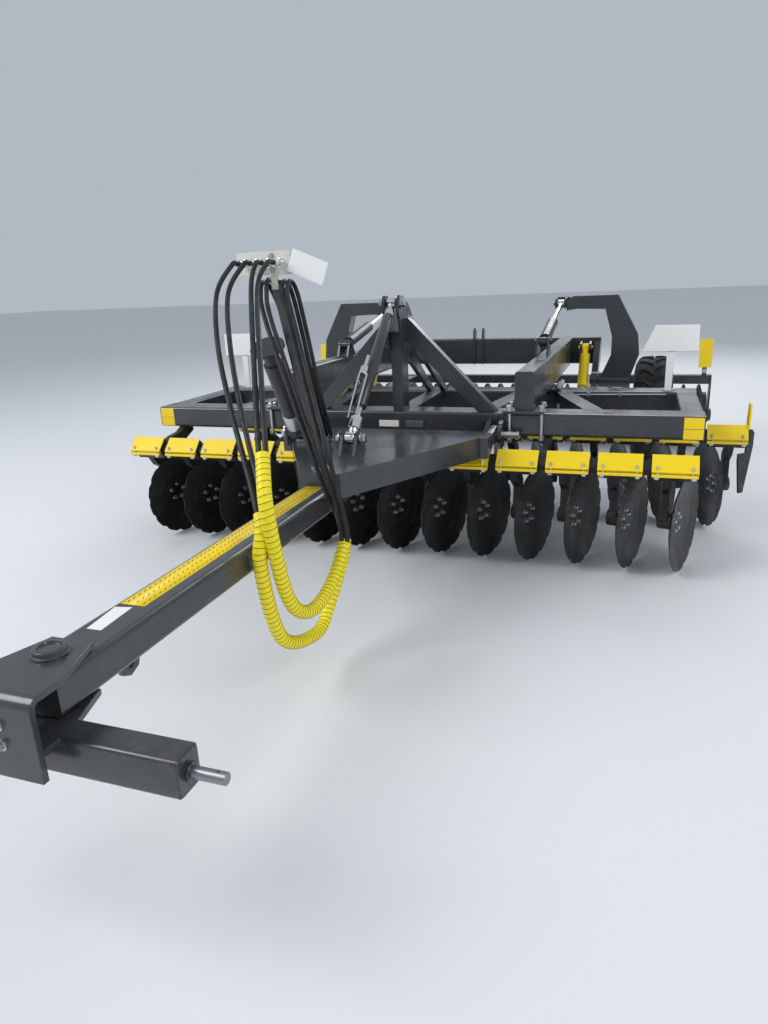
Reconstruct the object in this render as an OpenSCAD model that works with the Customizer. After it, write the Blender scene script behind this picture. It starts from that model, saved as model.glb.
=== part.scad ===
// Trailed compact disc harrow, lowered on its discs. Millimetres, +Z up, +Y to the rear, -Y to the hitch.
// Places are given from the machine's centre plane (X), the front guards' lower edge (Y) and the floor (Z).
// module placed() then moves everything so that the origin is the middle of the footprint.

/* [Disc rows] */
// Discs in each row
units = 13; // [9:2:17]
// Sideways distance from one disc to the next in a row
pitch = 250; // [240:1:270]
// Distance from the front row back to the rear row
row_gap = 785; // [760:1:860]
// Sideways place of the front row's middle
front_shift = -60; // [-90:1:0]
// Sideways place of the rear row's middle
rear_shift = 235; // [200:1:260]
// Angle of each disc to the direction of travel
disc_angle = 17; // [12:1:20]

/* [Discs] */
// Radius of a disc over its teeth
disc_r = 255; // [235:1:260]
// Thickness of a disc
disc_t = 6; // [5:0.5:8]
// Depth of a disc's hollow
disc_dish = 50; // [35:1:60]
// Radius of the flat middle of a disc
disc_flat_r = 60; // [55:1:75]
// Notches around a disc
notches = 14; // [10:1:18]
// Radius of the cutter that makes a notch
notch_r = 34; // [25:1:45]
// Depth of a notch
notch_depth = 9; // [5:1:14]
// Place of the hub behind the guards' edge
hub_y = 250; // [235:1:270]
// Sideways place of the disc's middle from the unit's middle
hub_x = 25; // [10:1:40]
// Radius of the hub housing
hub_r = 46; // [42:1:52]
// Length of the hub housing
hub_len = 62; // [50:1:75]
// Radius of the hub spindle
spindle_r = 17; // [14:0.5:22]
// Radius of the flange behind the disc
flange_r = 52; // [48:1:56]
// Thickness of the flange behind the disc
flange_t = 12; // [9:1:15]

/* [Disc carriers] */
// Side of a square rubber-spring housing
housing_side = 90; // [84:1:94]
// Width of a housing
housing_w = 196; // [180:1:206]
// Place of a housing's middle behind the guards' edge
housing_y = 90; // [84:1:100]
// Height of a housing's middle
housing_z = 574; // [568:1:590]
// Side of the square bar that runs through all housings
core_side = 56; // [46:1:64]
// Width of a clamp bracket between two housings
bracket_w = 34; // [28:1:40]
// Thickness of an arm
arm_t = 38; // [30:1:44]
// Sideways place of an arm's middle from its hub housing's middle
arm_set = 10; // [8:1:14]
// Width of a guard plate
guard_w = 210; // [190:1:222]
// Length of a guard plate down its slope
guard_l = 100; // [88:1:110]
// Thickness of a guard plate
guard_t = 6; // [4:0.5:8]
// Height of the folded lip of a guard plate
guard_lip = 20; // [14:1:26]
// Distance that the edge blade stands out from the last guard
blade_out = 40; // [36:1:50]
// Width of the edge blade
blade_w = 110; // [100:1:120]
// Thickness of the edge blade
blade_t = 10; // [8:1:12]
// Height of the edge blade's lower end
blade_low = 250; // [240:5:300]

/* [Main frame] */
// Half width of the frame
frame_half = 1570; // [1500:5:1620]
// Depth of a cross beam
beam_d = 175; // [150:1:185]
// Height of a cross beam
beam_h = 120; // [100:1:130]
// Height of the top of the main frame
frame_top = 800; // [795:1:830]
// Gap from the guards' edge back to the beam's face
beam_set = 235; // [225:1:245]
// Width of a side rail
rail_w = 112; // [90:1:130]
// Rounding of the beams' edges
beam_round = 14; // [8:1:20]
// Width of a brace between the beams
brace_w = 100; // [80:1:110]
// Height of a brace
brace_h = 60; // [45:1:70]
// Sideways place of an outer brace's front end
brace_front = 1035; // [1000:5:1080]
// Sideways place of an inner brace's front end
brace_inner = 470; // [455:5:490]
// How far the braces' rear ends lie from a long beam's middle
brace_meet = 120; // [100:5:135]

/* [Upper frame] */
// Sideways place of a long beam's middle
long_x = 690; // [670:1:720]
// Width of a long beam
long_w = 100; // [80:1:110]
// Height of the upper beams
upper_h = 200; // [180:1:215]
// Gap that the saddle plates fill between the frames
saddle_t = 15; // [10:1:20]
// Place of the rear cross beam's face behind the guards' edge
rear_y = 2350; // [2330:5:2400]
// Depth of the rear cross beam
rear_d = 120; // [100:1:130]
// Width of a saddle plate
saddle_w = 190; // [170:1:200]

/* [Mast] */
// Height of the mast's eye
mast_eye_z = 1380; // [1340:5:1400]
// Distance that the mast's eye stands before its legs
mast_reach = 75; // [60:5:90]
// Radius of the mast's eye
mast_eye_r = 16; // [12:0.5:18]
// Thickness of a mast head plate
mast_plate_t = 14; // [10:1:18]
// Gap between the mast head plates
mast_gap = 66; // [62:1:74]
// Width of a mast leg
mast_leg = 80; // [60:1:84]
// Distance from the front beam's face back to the middle of a mast leg
mast_set = 45; // [42:1:60]
// Width of the mast's slanting legs
mast_brace = 95; // [80:1:100]
// Sideways place of the feet of the mast's slanting legs
mast_spread = 450; // [400:5:500]

/* [Drawbar] */
// Place of the drawbar's hinge behind the guards' edge
hinge_y = 172; // [165:1:185]
// Height of the drawbar's hinge
hinge_z = 702; // [695:1:715]
// Radius of a hinge pin
hinge_pin_r = 20; // [16:0.5:22]
// Sideways place of a hinge ear's middle
ear_x = 548; // [530:1:570]
// Thickness of a hinge ear
ear_t = 34; // [28:1:40]
// Thickness of a hinge lug on the frame
lug_t = 22; // [16:1:26]
// Radius of a hinge eye
eye_r = 46; // [40:1:50]
// Height of the drawbar box's underside
box_z = 622; // [612:1:635]
// Height of the drawbar box
box_h = 108; // [95:1:115]
// Place of the drawbar box's front end before the guards' edge
box_front = 850; // [800:5:900]
// Half width of the drawbar box at its front end
box_front_half = 96; // [85:1:110]
// Width of the tongue
tongue_w = 146; // [130:1:160]
// Height of the tongue
tongue_h = 100; // [85:1:110]
// Height of the tongue's underside
tongue_z = 575; // [565:1:585]
// Rounding of the tongue's edges
tongue_round = 18; // [10:1:24]
// Place of the hitch's upright pin before the guards' edge
pivot_y = 2380; // [2300:5:2450]
// Radius of the hitch's upright pin
pivot_r = 30; // [24:0.5:34]

/* [Hitch] */
// Thickness of the hitch head's plates
head_t = 16; // [12:1:20]
// Half width of the hitch head
head_half = 112; // [100:1:125]
// Distance from the upright pin forward to the head's front plate
head_front = 170; // [160:1:190]
// Side of the square cross bar
bar_h = 96; // [80:1:105]
// Depth of the cross bar
bar_d = 80; // [70:1:90]
// Distance from the upright pin forward to the cross bar's middle
bar_set = 88; // [84:1:95]
// Half distance between the lower link shoulders
link_half = 412.5; // [400:0.5:420]
// Radius of a lower link pin
link_r = 14.2; // [14:0.05:18.3]
// Length of a lower link pin
link_len = 92; // [80:1:100]

/* [Turnbuckle] */
// Place of the lower turnbuckle pin before the guards' edge
link_pin_y = 470; // [440:5:500]
// Height of the lower turnbuckle pin
link_pin_z = 800; // [790:1:815]
// Radius of the turnbuckle's tube
tube_r = 24; // [20:0.5:28]
// Radius of the turnbuckle's screw
screw_r = 15; // [12:0.5:17]
// Length of the turnbuckle's tube from its pin
tube_len = 560; // [500:5:600]
// Radius of the turnbuckle's pins
tb_pin_r = 14; // [11:0.5:15]
// Radius of the turnbuckle's eyes
tb_eye_r = 30; // [26:0.5:32]
// Width of the turnbuckle's eyes
tb_eye_w = 46; // [38:1:50]

/* [Parking stand] */
// Sideways place of the stand's pivot
stand_x = -335; // [-345:1:-330]
// Place of the stand's pivot before the guards' edge
stand_y = 330; // [310:5:350]
// Height of the stand's pivot
stand_z = 790; // [780:1:800]
// Radius of the stand's outer tube
stand_r = 46; // [42:1:48]
// Length of the stand's outer tube
stand_len = 400; // [380:5:410]
// Radius of the stand's inner tube
stand_in_r = 36; // [32:1:38]
// Length of the stand's inner tube that stands out
stand_out = 90; // [60:5:120]
// Radius of the stand's foot
foot_r = 80; // [72:1:84]
// Thickness of the stand's foot
foot_t = 12; // [8:1:16]
// Lean of the stowed stand from the upright
stand_lean = 30; // [28:1:34]
// Radius of the stand's pivot pin
stand_pin_r = 15; // [12:0.5:18]

/* [Hose holder] */
// Sideways place of the holder's post
post_x = -252; // [-254:1:-250]
// Place of the holder's post before the guards' edge
post_y = 600; // [580:5:620]
// Side of the holder's post
post_side = 40; // [30:1:45]
// Distance that the post leans forward from its foot to its top
post_run = 285; // [270:5:300]
// Height of the post's top
post_top = 1515; // [1500:5:1530]
// Width of the holder's plate
plate_w = 256; // [240:2:270]
// Height of the holder's plate
plate_h = 96; // [80:1:110]
// Thickness of the holder's plate
plate_t = 8; // [5:0.5:10]
// Sideways place of the holder's plate from its post
plate_shift = -40; // [-50:1:-30]
// Distance from one coupling to the next
coupling_pitch = 54; // [50:1:58]
// Radius of a coupling
coupling_r = 14; // [11:0.5:16]
// Length of a coupling before the plate
coupling_len = 72; // [60:2:80]

/* [Hoses] */
// Radius of a hydraulic hose
hose_r = 10; // [8:0.5:12]

/* [Marker boards] */
// Width of a marker board
board_w = 300; // [260:5:320]
// Height of a marker board
board_h = 150; // [130:5:170]
// Thickness of a marker board
board_t = 6; // [4:0.5:10]
// Width of a marker board's post
board_post = 44; // [34:1:50]
// Height of a marker board's middle
board_z = 1105; // [1090:5:1130]
// Gap from the frame's side to a marker board's middle
board_in = 150; // [135:5:170]

/* [Roller] */
// Radius of the roller
roller_r = 260; // [250:1:265]
// Place of the roller's axle behind the guards' edge
roller_y = 3310; // [3305:5:3330]
// Half width of the roller
roller_half = 1800; // [1750:5:1830]
// Radius of the roller's drum
drum_r = 195; // [180:1:205]
// Rings on the roller
rings = 29; // [25:1:31]
// Thickness of a ring at its root
ring_t = 60; // [46:1:66]
// Radius of the roller's axle stub
stub_r = 25; // [20:0.5:30]
// Thickness of the roller's end plates
end_t = 16; // [12:1:20]
// Gap from a roller end to its end plate
end_gap = 14; // [8:1:20]
// Length of the roller's axle outside an end plate
stub_out = 24; // [18:1:30]
// Side of the roller frame's tubes
cross_side = 76; // [70:1:80]
// Gap from the rings up to the tube over the roller
tube_gap = 10; // [8:1:14]
// Height of the top of the tie between the roller arms
cross_top = 706; // [700:1:712]
// Place of that tie's middle behind the guards' edge
cross_y = 1560; // [1550:5:1600]
// Gap from a long beam's side to the middle of a roller arm and its cylinder
rc_in = 105; // [95:1:110]
// Gap from the middle of a roller arm to the wheel arm's bracket
rc_out = 60; // [57:1:66]
// Side of a roller arm
roller_arm = 80; // [70:1:90]
// Place of the roller arms' hinge behind the guards' edge
roller_hinge_y = 1262; // [1255:1:1275]
// Height of the roller arms' hinge
roller_hinge_z = 742; // [735:1:750]
// Radius of the roller arms' hinge pins
roller_pin_r = 16; // [12:0.5:18]
// Height of an end board's plate
mark_h = 236; // [200:4:260]
// Width of an end board's plate
mark_w = 100; // [80:1:120]
// Gap from an end board's middle to the roller frame's end
mark_in = 60; // [50:1:70]
// Gap from the tube over the roller up to an end board
mark_lift = 66; // [50:1:80]

/* [Roller cylinders] */
// Place of the upper pin behind the guards' edge
rc_top_y = 2275; // [2265:1:2285]
// Height of the upper pin
rc_top_z = 945; // [930:1:960]
// Place of the lower pin behind the guards' edge
rc_low_y = 2005; // [1998:1:2015]
// Height of the lower pin
rc_low_z = 560; // [555:1:565]
// Radius of the roller cylinders' barrels
rc_r = 37; // [32:0.5:40]
// Length of the roller cylinders' barrels from the upper pin
rc_len = 330; // [310:5:345]
// Radius of the roller cylinders' rods
rc_rod_r = 17; // [14:0.5:20]
// Length of the roller cylinders' rods from the lower pin
rc_rod_l = 310; // [290:5:315]
// Radius of the cylinders' pins
cyl_pin_r = 14; // [11:0.5:16]
// Radius of the cylinders' eyes
cyl_eye_r = 29; // [27:0.5:31]
// Width of the cylinders' eyes
cyl_eye_w = 44; // [38:1:48]
// Radius of the pins in the rods' eyes
rod_pin_r = 11; // [9:0.5:12]
// Thickness of a cylinder's lug
cyl_lug_t = 14; // [10:1:16]
// Length of a barrel's narrow end from its pin
cyl_neck = 64; // [60:1:70]

/* [Transport wheels] */
// Radius of a tyre
tyre_r = 420; // [400:5:435]
// Width of a tyre
tyre_w = 290; // [270:5:305]
// Radius of a wheel rim
rim_r = 200; // [190:1:215]
// Sideways place of a wheel's middle
wheel_x = 1350; // [1340:1:1360]
// Place of a wheel's middle behind the guards' edge
wheel_y = 2620; // [2610:5:2640]
// Place of the wheel arm's pivot behind the guards' edge
swing_y = 2130; // [2120:1:2150]
// Height of the wheel arm's pivot
swing_z = 722; // [712:1:735]
// Width of the bracket that holds the wheel arm's pivot shaft
swing_w = 45; // [40:1:48]
// Radius of the wheel arm's pivot tube
swing_r = 58; // [50:1:62]
// Radius of the wheel arm's pivot shaft
swing_pin_r = 34; // [28:0.5:38]
// Height of the gooseneck's top
goose_top = 1330; // [1310:5:1360]
// Depth of the gooseneck's section
goose_d = 110; // [95:1:120]
// Thickness of the wheel arm's plate
arm_plate_t = 40; // [30:1:44]
// Radius of a wheel axle
axle_r = 28; // [24:0.5:32]

/* [Lift cylinders] */
// How far the lift cylinders lie inside the long beams' middle
lift_in = 22; // [0:1:25]
// Place of the rear eye behind the guards' edge
lift_eye_y = 2120; // [2100:5:2140]
// Height of the rear eye
lift_eye_z = 1276; // [1260:1:1285]
// Place of the front pin behind the guards' edge
lift_base_y = 1150; // [1100:5:1200]
// Height of the front pin
lift_base_z = 1086; // [1075:1:1095]
// Radius of the lift cylinders' barrels
lift_r = 36; // [30:0.5:38]
// Length of the lift cylinders' barrels from the front pin
lift_len = 470; // [440:5:520]
// Radius of the lift cylinders' rods
lift_rod_r = 17; // [14:0.5:20]

/* [Fits] */
// Running gap round a pin or shaft
pin_gap = 0.25; // [0.15:0.05:0.5]
// Gap between the faces of moving pieces at a pin
side_gap = 5; // [3:0.5:7]
// Gap between a hub flange and its housing
hub_gap = 1; // [0.5:0.5:2]
// Play of the turnbuckle's upper eye round its pin
screw_play = 1.3; // [1.2:0.1:2]
// Play of a lift rod's eye round its pin
lift_play = 9.2; // [9:0.1:10]
// Play of a roller rod's eye round its pin
roller_play = 8; // [7.5:0.1:9]

/* [Output] */
// The piece to build, or all

/* [Hidden] */
$fn = 64;
frame_colour = [0.16, 0.17, 0.18];
dark_colour = [0.08, 0.08, 0.09];
disc_colour = [0.10, 0.10, 0.11];
guard_colour = [0.95, 0.78, 0.08];
steel_colour = [0.72, 0.74, 0.76];
white_colour = [0.9, 0.9, 0.88];
tyre_colour = [0.06, 0.06, 0.06];
half_units = (units - 1) / 2;
frame_low = frame_top - beam_h;
front_beam_y = beam_set;
second_beam_y = beam_set + row_gap;
long_low = frame_top + saddle_t;
long_top = long_low + upper_h;
housing_half = housing_side * sqrt(2) / 2;
core_half = core_side * sqrt(2) / 2;
hub_z = disc_r;
roller_reach = roller_half + end_gap + end_t + stub_out;
left_reach = max(half_units * pitch + guard_w / 2 - front_shift, roller_reach);
blade_turn = 45;
right_reach = max(half_units * pitch + guard_w / 2 + rear_shift + blade_out, roller_reach);
hitch_reach = pivot_y + head_front + head_t;
rear_reach = roller_y + roller_r;
mid_x = (left_reach - right_reach) / 2;
mid_y = (hitch_reach - rear_reach) / 2;
ear_front = 40;
stand_ear_t = 10;
ear_gap = 3;
lug_gap = ear_t / 2 + side_gap;
pin_out = 60;
pin_head = 12;
tongue_top = tongue_z + tongue_h;
box_top = box_z + box_h;
head_top_z = tongue_top + side_gap;
head_low_z = tongue_z - side_gap;
tb_dy = eye_y() + link_pin_y;
tb_dz = mast_eye_z - link_pin_z;
tb_len = sqrt(tb_dy * tb_dy + tb_dz * tb_dz);
tb_tilt = atan2(tb_dy, tb_dz);
mast_y = front_beam_y + mast_set;
mast_eye_y = eye_y();
bar_z = tongue_z - side_gap - bar_h / 2;
rear_edge = rear_shift + half_units * pitch;
roller_arm_x = long_x + long_w / 2 + rc_in;
rear_half = roller_arm_x + rc_out + swing_w;
lift_x = long_x - lift_in;
board_x = frame_half - board_in;
tube_low = 2 * roller_r + tube_gap;
tube_top = tube_low + cross_side;
rc_dy = rc_top_y - rc_low_y;
rc_dz = rc_top_z - rc_low_z;
rc_dist = sqrt(rc_dy * rc_dy + rc_dz * rc_dz);
rc_tilt = atan2(rc_dy, rc_dz);
lift_dy = lift_eye_y - lift_base_y;
lift_dz = lift_eye_z - lift_base_z;
lift_dist = sqrt(lift_dy * lift_dy + lift_dz * lift_dz);
lift_tilt = atan2(lift_dz, lift_dy);
cyl_pin_half = cyl_eye_w / 2 + side_gap + cyl_lug_t + pin_head;
end_in = roller_half + end_gap;
swing_in = rear_half + side_gap;
arm_out = wheel_x - tyre_w / 2 - 25;

function eye_y() = front_beam_y + mast_set - mast_reach;

holder_face = -post_y - post_side / 2 - plate_t;
coupling_z = post_top + 20 + plate_h / 2;
function coupling_x(k) = post_x + plate_shift + (k - 1.5) * coupling_pitch;

// The hoses' routes: the first point lies on the coupling's end and the last on the drawbar's fitting
hose_sides = 8;
fit_x = [-272, -248, -216, -192];
fit_y = -262;
fit_h = 28;
fit_r = 10;
hose_start_y = holder_face - coupling_len;
route_1 = [
  [coupling_x(0), hose_start_y, coupling_z],
  [-378, -745, 1580],
  [-400, -850, 1470],
  [-290, -1060, 1280],
  [-112, -1300, 1060],
  [94, -1545, 780],
  [94, -1580, 600],
  [94, -1480, 290],
  [94, -1216, 172],
  [94, -1070, 225],
  [112, -900, 465],
  [80, -1000, 740],
  [-50, -900, 980],
  [-262, -712, 1350],
  [-300, -662, 1470],
  [-312, -600, 1508],
  [-308, -535, 1460],
  [-280, -470, 1280],
  [fit_x[0], -350, 960],
  [fit_x[0], fit_y, box_top + fit_h]
];
route_2 = [
  [coupling_x(1), hose_start_y, coupling_z],
  [-322, -745, 1580],
  [-346, -850, 1470],
  [-236, -1060, 1280],
  [-72, -1300, 1060],
  [120, -1545, 780],
  [120, -1580, 600],
  [120, -1480, 290],
  [120, -1216, 172],
  [120, -1070, 225],
  [138, -900, 465],
  [106, -1000, 740],
  [-24, -900, 980],
  [-234, -712, 1350],
  [-272, -662, 1470],
  [-286, -600, 1518],
  [-284, -530, 1460],
  [-254, -460, 1280],
  [fit_x[1], -350, 960],
  [fit_x[1], fit_y, box_top + fit_h]
];
route_3 = [
  [coupling_x(2), hose_start_y, coupling_z],
  [-266, -745, 1580],
  [-240, -850, 1480],
  [-34, -1250, 1200],
  [90, -1490, 966],
  [144, -1590, 790],
  [144, -1505, 470],
  [144, -1366, 345],
  [144, -1192, 345],
  [144, -1040, 430],
  [140, -975, 540],
  [110, -1040, 850],
  [-2, -900, 1050],
  [-170, -690, 1370],
  [-204, -655, 1460],
  [-214, -600, 1508],
  [-216, -535, 1460],
  [fit_x[2], -460, 1280],
  [fit_x[2], -350, 960],
  [fit_x[2], fit_y, box_top + fit_h]
];
route_4 = [
  [coupling_x(3), hose_start_y, coupling_z],
  [-214, -745, 1580],
  [-212, -850, 1480],
  [-8, -1250, 1200],
  [116, -1490, 966],
  [170, -1590, 790],
  [170, -1505, 470],
  [170, -1366, 345],
  [170, -1192, 345],
  [170, -1040, 430],
  [166, -975, 540],
  [136, -1040, 850],
  [24, -900, 1050],
  [-144, -690, 1370],
  [-178, -655, 1460],
  [-188, -600, 1508],
  [-190, -535, 1460],
  [fit_x[3], -460, 1280],
  [fit_x[3], -350, 960],
  [fit_x[3], fit_y, box_top + fit_h]
];

function unit(v) = v / norm(v);
function tangent(p, i) = i == 0 ? [0, -1, 0] : i == len(p) - 1 ? [0, 0, -1] : unit(unit(p[i] - p[i - 1]) + unit(p[i + 1] - p[i]));
function carried(p, i) = i == 0 ? [1, 0, 0] : let(c = carried(p, i - 1), t = tangent(p, i)) unit(c - (c * t) * t);
function ring(p, i, r, n, t) = [for (k = [0 : hose_sides - 1]) p[i] + r * (cos(k * 360 / hose_sides) * n + sin(k * 360 / hose_sides) * cross(t, n))];
function tube_points(p, r) = [for (i = [0 : len(p) - 1]) each ring(p, i, r, carried(p, i), tangent(p, i))];
function tube_faces(n) = concat([[for (k = [0 : hose_sides - 1]) k]], [for (i = [0 : n - 2]) for (k = [0 : hose_sides - 1]) [i * hose_sides + k, (i + 1) * hose_sides + k, (i + 1) * hose_sides + (k + 1) % hose_sides, i * hose_sides + (k + 1) % hose_sides]], [[for (k = [hose_sides - 1 : -1 : 0]) (n - 1) * hose_sides + k]]);

// Moves a piece from the machine's own zero to the row frame
module placed() {
  translate([mid_x, mid_y, 0])
    children();
}

// A bar along X with rounded long edges, from x0 to x1, with its lower front corner at y, z
module bar_x(x0, x1, y, z, d, h, r) {
  translate([x0, y, z])
    rotate([90, 0, 90])
      linear_extrude(x1 - x0)
        rounded(d, h, r);
}

// A bar along Y with rounded long edges, from y0 to y1
module bar_y(y0, y1, x, z, w, h, r) {
  translate([x, y1, z])
    rotate([90, 0, 0])
      linear_extrude(y1 - y0)
        rounded(w, h, r);
}

// A rectangle with round corners
module rounded(w, h, r) {
  union() {
    translate([r, 0])
      square([w - 2 * r, h]);
    translate([0, r])
      square([w, h - 2 * r]);
    for (x = [r, w - r])
      for (y = [r, h - r])
        translate([x, y])
          circle(r);
  }
}

// A flat plate across X: its outline is given in Y, Z
module plate_yz(x0, t, points) {
  translate([x0, 0, 0])
    rotate([90, 0, 90])
      linear_extrude(t)
        polygon(points);
}

// A round bar along X
module rod_x(x0, x1, y, z, r) {
  translate([x0, y, z])
    rotate([0, 90, 0])
      cylinder(h = x1 - x0, r = r);
}

// Both sides of the machine
module both() {
  children();
  mirror([1, 0, 0])
    children();
}

// The same piece at each unit of a row
module each_unit(shift) {
  for (i = [-half_units : half_units])
    translate([shift + i * pitch, 0, 0])
      children();
}

// Main frame: two cross beams, side rails, braces and lugs
module main_frame() {
  color(frame_colour)
    placed() {
      union() {
        bar_x(-frame_half, frame_half, front_beam_y, frame_low, beam_d, beam_h, beam_round);
        bar_x(-frame_half, frame_half, second_beam_y, frame_low, beam_d, beam_h, beam_round);
        both()
          bar_y(front_beam_y + beam_d - beam_round, second_beam_y + beam_round, frame_half - rail_w, frame_low, rail_w, beam_h, beam_round);
        brace(0, 0);
        both()
          brace(brace_front, long_x + brace_meet);
        both()
          brace(brace_inner, long_x - brace_meet);
        both()
          hinge_lugs();
        both()
          roller_lugs();
      }
    }
}

// A flat-topped brace from the front beam at x0 to the second beam at x1
module brace(x0, x1) {
  brace_y = front_beam_y + beam_d - 5;
  translate([0, 0, frame_top - brace_h - 4])
    linear_extrude(brace_h)
      polygon([
        [x0 - brace_w / 2, brace_y],
        [x0 + brace_w / 2, brace_y],
        [x1 + brace_w / 2, second_beam_y + 5],
        [x1 - brace_w / 2, second_beam_y + 5]
      ]);
}

// Two hinge lugs of the drawbar on the front beam's face
module hinge_lugs() {
  for (side = [-1, 1])
    difference() {
      union() {
        lug_x = side > 0 ? ear_x + lug_gap : ear_x - lug_gap - lug_t;
        plate_yz(lug_x, lug_t, [[hinge_y - 30, frame_low - 20], [front_beam_y + 2, frame_low - 60], [front_beam_y + 2, frame_top - 25], [hinge_y, frame_top - 45]]);
        rod_x(lug_x, lug_x + lug_t, hinge_y, hinge_z, eye_r);
      }
      rod_x(ear_x - 200, ear_x + 200, hinge_y, hinge_z, hinge_pin_r + pin_gap);
    }
}

// Two hinge lugs of a roller arm on the second beam's rear face
module roller_lugs() {
  for (side = [-1, 1])
    difference() {
      union() {
        lug_x = roller_arm_x + side * (roller_arm / 2 + side_gap + lug_t / 2) - lug_t / 2;
        plate_yz(lug_x, lug_t, [[second_beam_y + beam_d - 2, frame_low + 10], [roller_hinge_y, roller_hinge_z - 34], [roller_hinge_y, roller_hinge_z + 34], [second_beam_y + beam_d - 2, frame_top - 12]]);
        rod_x(lug_x, lug_x + lug_t, roller_hinge_y, roller_hinge_z, 34);
      }
      rod_x(roller_arm_x - 200, roller_arm_x + 200, roller_hinge_y, roller_hinge_z, roller_pin_r + pin_gap);
    }
}

// Upper frame: two long beams, rear cross beam, saddles and lugs
module upper_frame() {
  color(frame_colour)
    placed()
      union() {
        bar_x(-rear_half, rear_half, rear_y, long_low, rear_d, upper_h, beam_round);
        both()
          bar_y(front_beam_y + 15, rear_y + beam_round, long_x - long_w / 2, long_low, long_w, upper_h, beam_round);
        both()
          for (y = [front_beam_y, second_beam_y])
            translate([long_x - saddle_w / 2, y + 10, frame_top])
              cube([saddle_w, beam_d - 20, saddle_t + 1]);
        both()
          lift_lugs();
        both()
          cylinder_lugs();
        both()
          swing_bracket();
        centre_bracket();
      }
}

// Lugs on a long beam that hold a lift cylinder's front pin
module lift_lugs() {
  for (side = [-1, 1]) {
    lug_x = lift_x + side * (cyl_eye_w / 2 + side_gap + cyl_lug_t / 2) - cyl_lug_t / 2;
    difference() {
      union() {
        plate_yz(lug_x, cyl_lug_t, [[lift_base_y - 70, long_top - 2], [lift_base_y + 70, long_top - 2], [lift_base_y + 30, lift_base_z], [lift_base_y - 30, lift_base_z]]);
        rod_x(lug_x, lug_x + cyl_lug_t, lift_base_y, lift_base_z, 30);
      }
      rod_x(lug_x - 5, lug_x + 25, lift_base_y, lift_base_z, cyl_pin_r + pin_gap);
    }
  }
}

// Lugs on the rear beam's face that hold a roller cylinder's upper pin
module cylinder_lugs() {
  for (side = [-1, 1]) {
    lug_x = roller_arm_x + side * (cyl_eye_w / 2 + side_gap + cyl_lug_t / 2) - cyl_lug_t / 2;
    difference() {
      union() {
        plate_yz(lug_x, cyl_lug_t, [[rear_y + 2, long_low + 30], [rear_y + 2, long_top - 20], [rc_top_y, rc_top_z + 30], [rc_top_y, rc_top_z - 30]]);
        rod_x(lug_x, lug_x + cyl_lug_t, rc_top_y, rc_top_z, 30);
      }
      rod_x(lug_x - 5, lug_x + 25, rc_top_y, rc_top_z, cyl_pin_r + pin_gap);
    }
  }
}

// Bracket under the rear beam's end that holds the wheel arm's pivot shaft
module swing_bracket() {
  difference() {
    union() {
      plate_yz(rear_half - swing_w, swing_w, [[swing_y - 20, swing_z + 40], [swing_y + 40, swing_z - 45], [rear_y + 30, long_low + 2], [rear_y + 30, long_low + 30], [rear_y + 2, long_top - 30]]);
      rod_x(rear_half - swing_w, rear_half, swing_y, swing_z, swing_r);
    }
    rod_x(rear_half - 100, rear_half + 100, swing_y, swing_z, swing_pin_r + pin_gap);
  }
}

// Upright bracket on the middle of the rear beam
module centre_bracket() {
  for (x = [-42, 28])
    plate_yz(x, 14, [[rear_y - 12, long_low], [rear_y + 4, long_low], [rear_y + 4, long_top - 2], [rear_y + 60, long_top - 2], [rear_y + 60, long_top + 60], [rear_y + 20, long_top + 84], [rear_y - 12, long_top + 60]]);
}

// Mast over the front beam, with the pin of the turnbuckle's upper eye
module mast() {
  color(frame_colour)
    placed()
      union() {
        for (side = [-1, 1])
          mast_head_plate(side);
        for (side = [-1, 1])
          mast_leg_front(side);
        both()
          mast_leg_side();
        both()
          mast_leg_rear();
        rod_x(-mast_gap / 2 - mast_plate_t - 16, mast_gap / 2 + mast_plate_t + 16, mast_eye_y, mast_eye_z, mast_eye_r);
      }
}

// One ear plate of the mast's head
module mast_head_plate(side) {
  x0 = side > 0 ? mast_gap / 2 : -mast_gap / 2 - mast_plate_t;
  difference() {
    union() {
      plate_yz(x0, mast_plate_t, [[mast_y - mast_leg / 2, mast_eye_z - 270], [mast_y + mast_leg / 2, mast_eye_z - 270], [mast_y + mast_leg / 2 + 40, mast_eye_z - 190], [mast_y + mast_leg / 2 + 26, mast_eye_z - 70], [mast_eye_y, mast_eye_z + 38], [mast_eye_y - 38, mast_eye_z], [mast_eye_y - 30, mast_eye_z - 60], [mast_y - mast_leg / 2, mast_eye_z - 170]]);
      rod_x(x0, x0 + mast_plate_t, mast_eye_y, mast_eye_z, 38);
    }
    rod_x(x0 - 5, x0 + mast_plate_t + 5, mast_eye_y + 92, mast_eye_z - 110, 10);
  }
}

// One upright leg of the mast
module mast_leg_front(side) {
  x0 = side > 0 ? mast_gap / 2 : -mast_gap / 2 - mast_leg;
  translate([x0, mast_y - mast_leg / 2, frame_top])
    cube([mast_leg, mast_leg, mast_eye_z - 230 - frame_top]);
}

// The slanting leg of the mast on one side
module mast_leg_side() {
  top_z = mast_eye_z - 70;
  x_in = mast_gap / 2 + mast_plate_t / 2;
  translate([0, mast_y + mast_leg / 2 + 10, 0])
    rotate([90, 0, 0])
      linear_extrude(mast_leg * 0.8)
        polygon([[x_in, top_z - 2 * mast_brace], [x_in, top_z], [x_in + 20, top_z], [mast_spread + mast_brace / 2, frame_top], [mast_spread - mast_brace / 2, frame_top]]);
}

// The rear brace of the mast on one side
module mast_leg_rear() {
  x0 = mast_gap / 2;
  foot_y = second_beam_y;
  plate_yz(x0, mast_plate_t * 2, [[mast_y + 30, mast_eye_z - 200], [mast_y + mast_leg / 2 + 30, mast_eye_z - 130], [foot_y + 90, frame_top], [foot_y, frame_top]]);
}

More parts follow.
